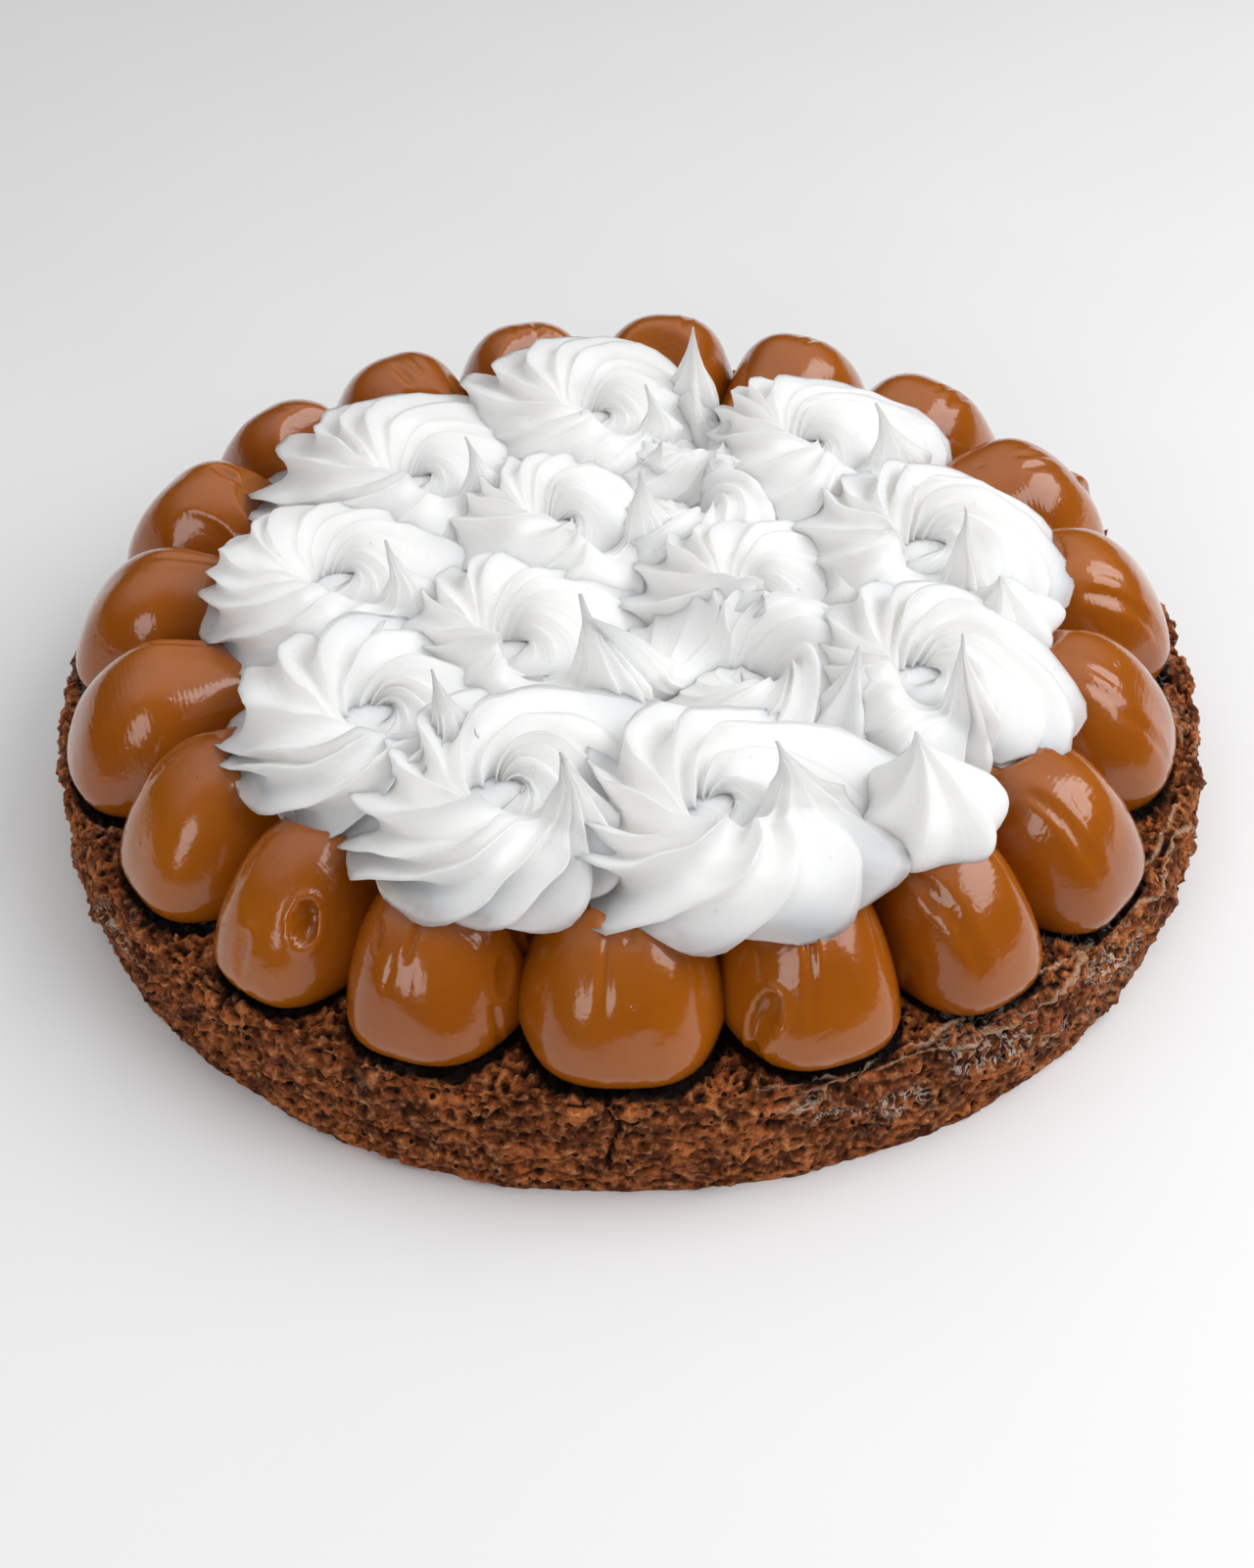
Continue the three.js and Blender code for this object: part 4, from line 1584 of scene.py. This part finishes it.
    def uneven(self, rows: Array) -> Array:
        """Bends the crests a little, as a hand leaves them.

        Args:
            rows: rings relative to the eye.

        Returns:
            The bent rings.
        """
        flat = rows.reshape(-1, 3)
        bent = flat.copy()
        for grain, depth in self.form.waves:
            bent += depth * self.noise.vectors(flat, grain, (40.0, 80.0, 120.0))
        return bent.reshape(rows.shape)

    def crowd(self, rows: Array) -> Array:
        """Spreads the swirl sideways until it meets its neighbours.

        Args:
            rows: rings relative to the eye.

        Returns:
            The spread rings.
        """

        def smooth(values: Array) -> Array:
            """Evens out values round the eye."""
            return np.mean([np.roll(values, step) for step in range(-3, 4)], axis=0)

        angle = np.arctan2(rows[..., 1], rows[..., 0])
        radius = np.hypot(rows[..., 0], rows[..., 1])
        bins = np.linspace(-math.pi, math.pi, self.sectors + 1)
        middle = 0.5 * (bins[1:] + bins[:-1])
        inside = [(angle >= low) & (angle < high) for low, high in zip(bins, bins[1:])]
        outline = smooth(np.array([radius[sector].max() for sector in inside]))
        room = self.layout.room(self.place, middle) * self.form.overlap
        target = np.minimum(room, self.place.reach * self.place.spread(middle))
        target = np.maximum(target, 0.6 * outline)
        factor = smooth(np.clip(target / outline, *self.growth))
        wide = np.interp(angle, middle, factor, period=2 * math.pi)
        edge = np.interp(angle, middle, outline, period=2 * math.pi)
        grown = rows.copy()
        grown[..., :2] *= (1 + (wide - 1) * np.clip(radius / edge, 0, 1) ** 2)[..., None]
        return grown

    def settle(self, rows: Array) -> Array:
        """Flattens the underside on what carries the swirl.

        Args:
            rows: rings relative to the eye.

        Returns:
            Rings in the cake's frame.
        """
        placed = rows + np.array([self.place.x, self.place.y, 0.0])
        plane = self.place.foot_height(placed[..., 0], placed[..., 1])
        grain = self.noise.at(placed.reshape(-1, 3), 6.0).reshape(plane.shape)
        placed[..., 2] = -soft_min(-placed[..., 2], -(plane + 0.5 * grain), 1.5)
        return self.mounds.hung(placed, plane)

    def build(self, finish: bpy.types.Material) -> None:
        """Makes the swirl's object from the meringue's material."""
        rings = self.settle(self.uneven(self.crowd(self.rows())))
        pipe(f"swirl_{self.place.number:02d}", rings, self.tip_end, self.noise, finish)


@dataclass
class MeringueDrop:
    """One small drop: pressed out in place and pulled off, with the teeth's fins up to its tip."""

    place: DropPlace
    mounds: MoundRing
    teeth: int = 6
    flute: float = 0.25
    twist: float = 0.6
    levels: int = 48

    def rows(self, noise: LatticeNoise) -> Array:
        """Rings of the drop from its foot to its tip.

        Args:
            noise: makes the drop uneven.

        Returns:
            Array of rings by columns by three, in the cake's frame.
        """
        place = self.place
        random = np.random.default_rng(place.number)
        tall = place.tip - place.foot
        levels = np.linspace(0, 1, self.levels) ** 1.1
        width = np.interp(
            levels,
            [0, 0.06, 0.16, 0.34, 0.55, 0.75, 0.9, 1],
            [0.9, 0.98, 1, 0.86, 0.5, 0.21, 0.08, 0.02],
        )
        width = np.convolve(np.pad(width, 2, mode="edge"), np.ones(5) / 5, mode="valid")
        pitch = 2 * math.pi / self.teeth
        shift = random.uniform(-0.16, 0.16, self.teeth) * pitch
        base = math.radians(place.teeth) + np.arange(self.teeth) * pitch + shift
        steps = np.diff(base, append=base[0] + 2 * math.pi)
        heading = (base[:, None] + FRACTIONS * steps[:, None]).ravel()
        deep = np.repeat(random.uniform(0.6, 1.3, self.teeth), len(FRACTIONS))
        valley = np.tile(0.5 - 0.5 * np.cos(2 * np.pi * FRACTIONS), self.teeth) ** 0.75
        rings = []
        for level, wide in zip(levels, width):
            flute = self.flute * (0.7 + 1.6 * level) * deep
            twist = heading + self.twist * level
            wobble = 0.05 * noise.at(ring_points(9.0, twist, tall * level), 6.0)
            ring = ring_points(place.reach * wide * (1.04 - flute * valley + wobble), twist, 0.0)
            ring[:, :2] += np.array([place.x, place.y]) + np.array(place.lean) * level**1.6
            floor = place.foot_height(ring[:, 0], ring[:, 1])
            ring[:, 2] = floor + (place.foot + tall - floor) * level
            rings.append(ring)
        placed = np.array(rings)
        return self.mounds.hung(placed, place.foot_height(placed[..., 0], placed[..., 1]))

    def build(self, finish: bpy.types.Material) -> None:
        """Makes the drop's object from the meringue's material."""
        noise = LatticeNoise(self.place.number + 900)
        pipe(f"drop_{self.place.number:02d}", self.rows(noise), 0.0, noise, finish)


# Camera, floor and light


def show(name: str, data: bpy.types.ID) -> bpy.types.Object:
    """Puts a camera, a lamp or a mesh into the scene.

    Args:
        name: name of the new object.
        data: what the object shows.

    Returns:
        The object.
    """
    shown = bpy.data.objects.new(name, data)
    bpy.context.scene.collection.objects.link(shown)
    return shown


class LampShape(Enum):
    """Shapes of a lamp's face, with the share of its sides' product that the face fills."""

    RECTANGLE = 1.0
    ELLIPSE = math.pi / 4


@dataclass(frozen=True)
class Lamp:
    """A soft lamp: place, size, shape and brightness of its face, and if glossy things show it."""

    name: str
    place: Triple
    size: Pair
    shape: LampShape
    radiance: float
    mirrored: bool = True

    AIM = Vector((0, 0, 0.04))

    def hang(self) -> None:
        """Hangs the lamp so that it looks at the cake."""
        data = bpy.data.lights.new(self.name, "AREA")
        data.shape = self.shape.name
        data.size, data.size_y = self.size
        data.energy = self.radiance * math.pi * (self.size[0] * self.size[1] * self.shape.value)
        lamp = show(self.name, data)
        lamp.location = self.place
        lamp.visible_glossy = self.mirrored
        lamp.rotation_euler = (self.AIM - Vector(self.place)).to_track_quat("-Z", "Y").to_euler()


@dataclass
class Studio:
    """Camera at the photograph's place, a pale floor and soft light."""

    position: Triple = (-0.456, -342.254, 311.675)
    pitch: float = 0.7602
    roll: float = -0.0192
    lens: float = 45.0
    film: float = 36.0
    floor_half: float = 3.0
    sky_span: Pair = (0.2, 0.95)
    front_span: Pair = (-0.75, 0.1)
    sky_front: float = 0.08
    sky_low: Triple = (0.03, 0.03, 0.03)
    sky_high: Triple = (1.0, 1.0, 1.0)
    lamps: tuple[Lamp, ...] = (
        Lamp("window", (0.66, -0.09, 0.69), (0.95, 0.62), LampShape.RECTANGLE, 3.5),
        Lamp("round", (-0.63, -1.08, 0.55), (0.62, 0.62), LampShape.ELLIPSE, 3.1),
        Lamp("fill", (-0.1, -0.95, 0.7), (1.2, 0.8), LampShape.RECTANGLE, 0.55, mirrored=False),
    )

    def camera(self) -> None:
        """Sets up the camera."""
        data = bpy.data.cameras.new("camera")
        data.sensor_fit = "VERTICAL"
        data.sensor_height = self.film
        data.lens = self.lens
        data.clip_start = 0.01
        forward = Vector((0.0, math.cos(self.pitch), -math.sin(self.pitch)))
        right = Vector((1.0, 0.0, 0.0))
        up = right.cross(forward)
        turned_right = math.cos(self.roll) * right + math.sin(self.roll) * up
        turned_up = -math.sin(self.roll) * right + math.cos(self.roll) * up
        turn = Matrix((turned_right, turned_up, -forward)).transposed().to_4x4()
        camera = show("camera", data)
        camera.matrix_world = Matrix.Translation(Vector(self.position) * MM) @ turn
        bpy.context.scene.camera = camera

    def floor(self, finish: bpy.types.Material) -> None:
        """Lays the floor.

        Args:
            finish: the floor's material.
        """
        half = self.floor_half
        mesh = bpy.data.meshes.new("floor")
        corners = [(-half, -half, 0), (half, -half, 0), (half, half, 0), (-half, half, 0)]
        mesh.from_pydata(corners, [], [(0, 1, 2, 3)])
        mesh.materials.append(finish)
        floor = show("floor", mesh)

    def room(self) -> None:
        """Sets the even light of the room, bright overhead and dim in front and near the ground."""
        world = bpy.data.worlds.new("room")
        bpy.context.scene.world = world
        world.use_nodes = True
        graph = Graph(world.node_tree)
        way = graph.node("ShaderNodeTexCoord").outputs["Generated"]
        parts = graph.node("ShaderNodeSeparateXYZ", Vector=way)
        above = graph.span(parts.outputs["Z"], self.sky_span, (0.0, 1.0))
        behind = graph.span(parts.outputs["Y"], self.front_span, (self.sky_front, 1.0))
        share = graph.number("MULTIPLY", above, behind)
        sky = graph.blend(share, self.sky_low, self.sky_high)
        graph.fill(world.node_tree.nodes["Background"], Color=sky, Strength=1.0)

    def light(self) -> None:
        """Hangs the lamps and picks the plain view transform."""
        self.room()
        for lamp in self.lamps:
            lamp.hang()
        bpy.context.scene.view_settings.view_transform = "Standard"


def main() -> None:
    """Builds the cake and the studio around it."""
    logging.basicConfig(level=logging.INFO, format="%(name)s %(message)s")
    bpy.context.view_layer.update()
    studio = Studio()
    studio.camera()
    studio.light()
    studio.floor(FloorFinish().build())
    meringue = MeringueFinish().build()
    caramel = CaramelFinish().build()
    layout = Layout()
    mounds = MoundRing()
    BrownieDisc().build(BrownieFinish().build(), mounds)
    for index in range(len(mounds.directions)):
        CaramelMound(mounds, index, layout).build(caramel)
    for place in layout.swirls:
        MeringueSwirl(place, layout, mounds).build(meringue)
    for place in layout.drops:
        MeringueDrop(place, mounds).build(meringue)
    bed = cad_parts["caramel_bed"]
    bed.data.materials.clear()
    bed.data.materials.append(caramel)


if __name__ == "__main__":
    main()
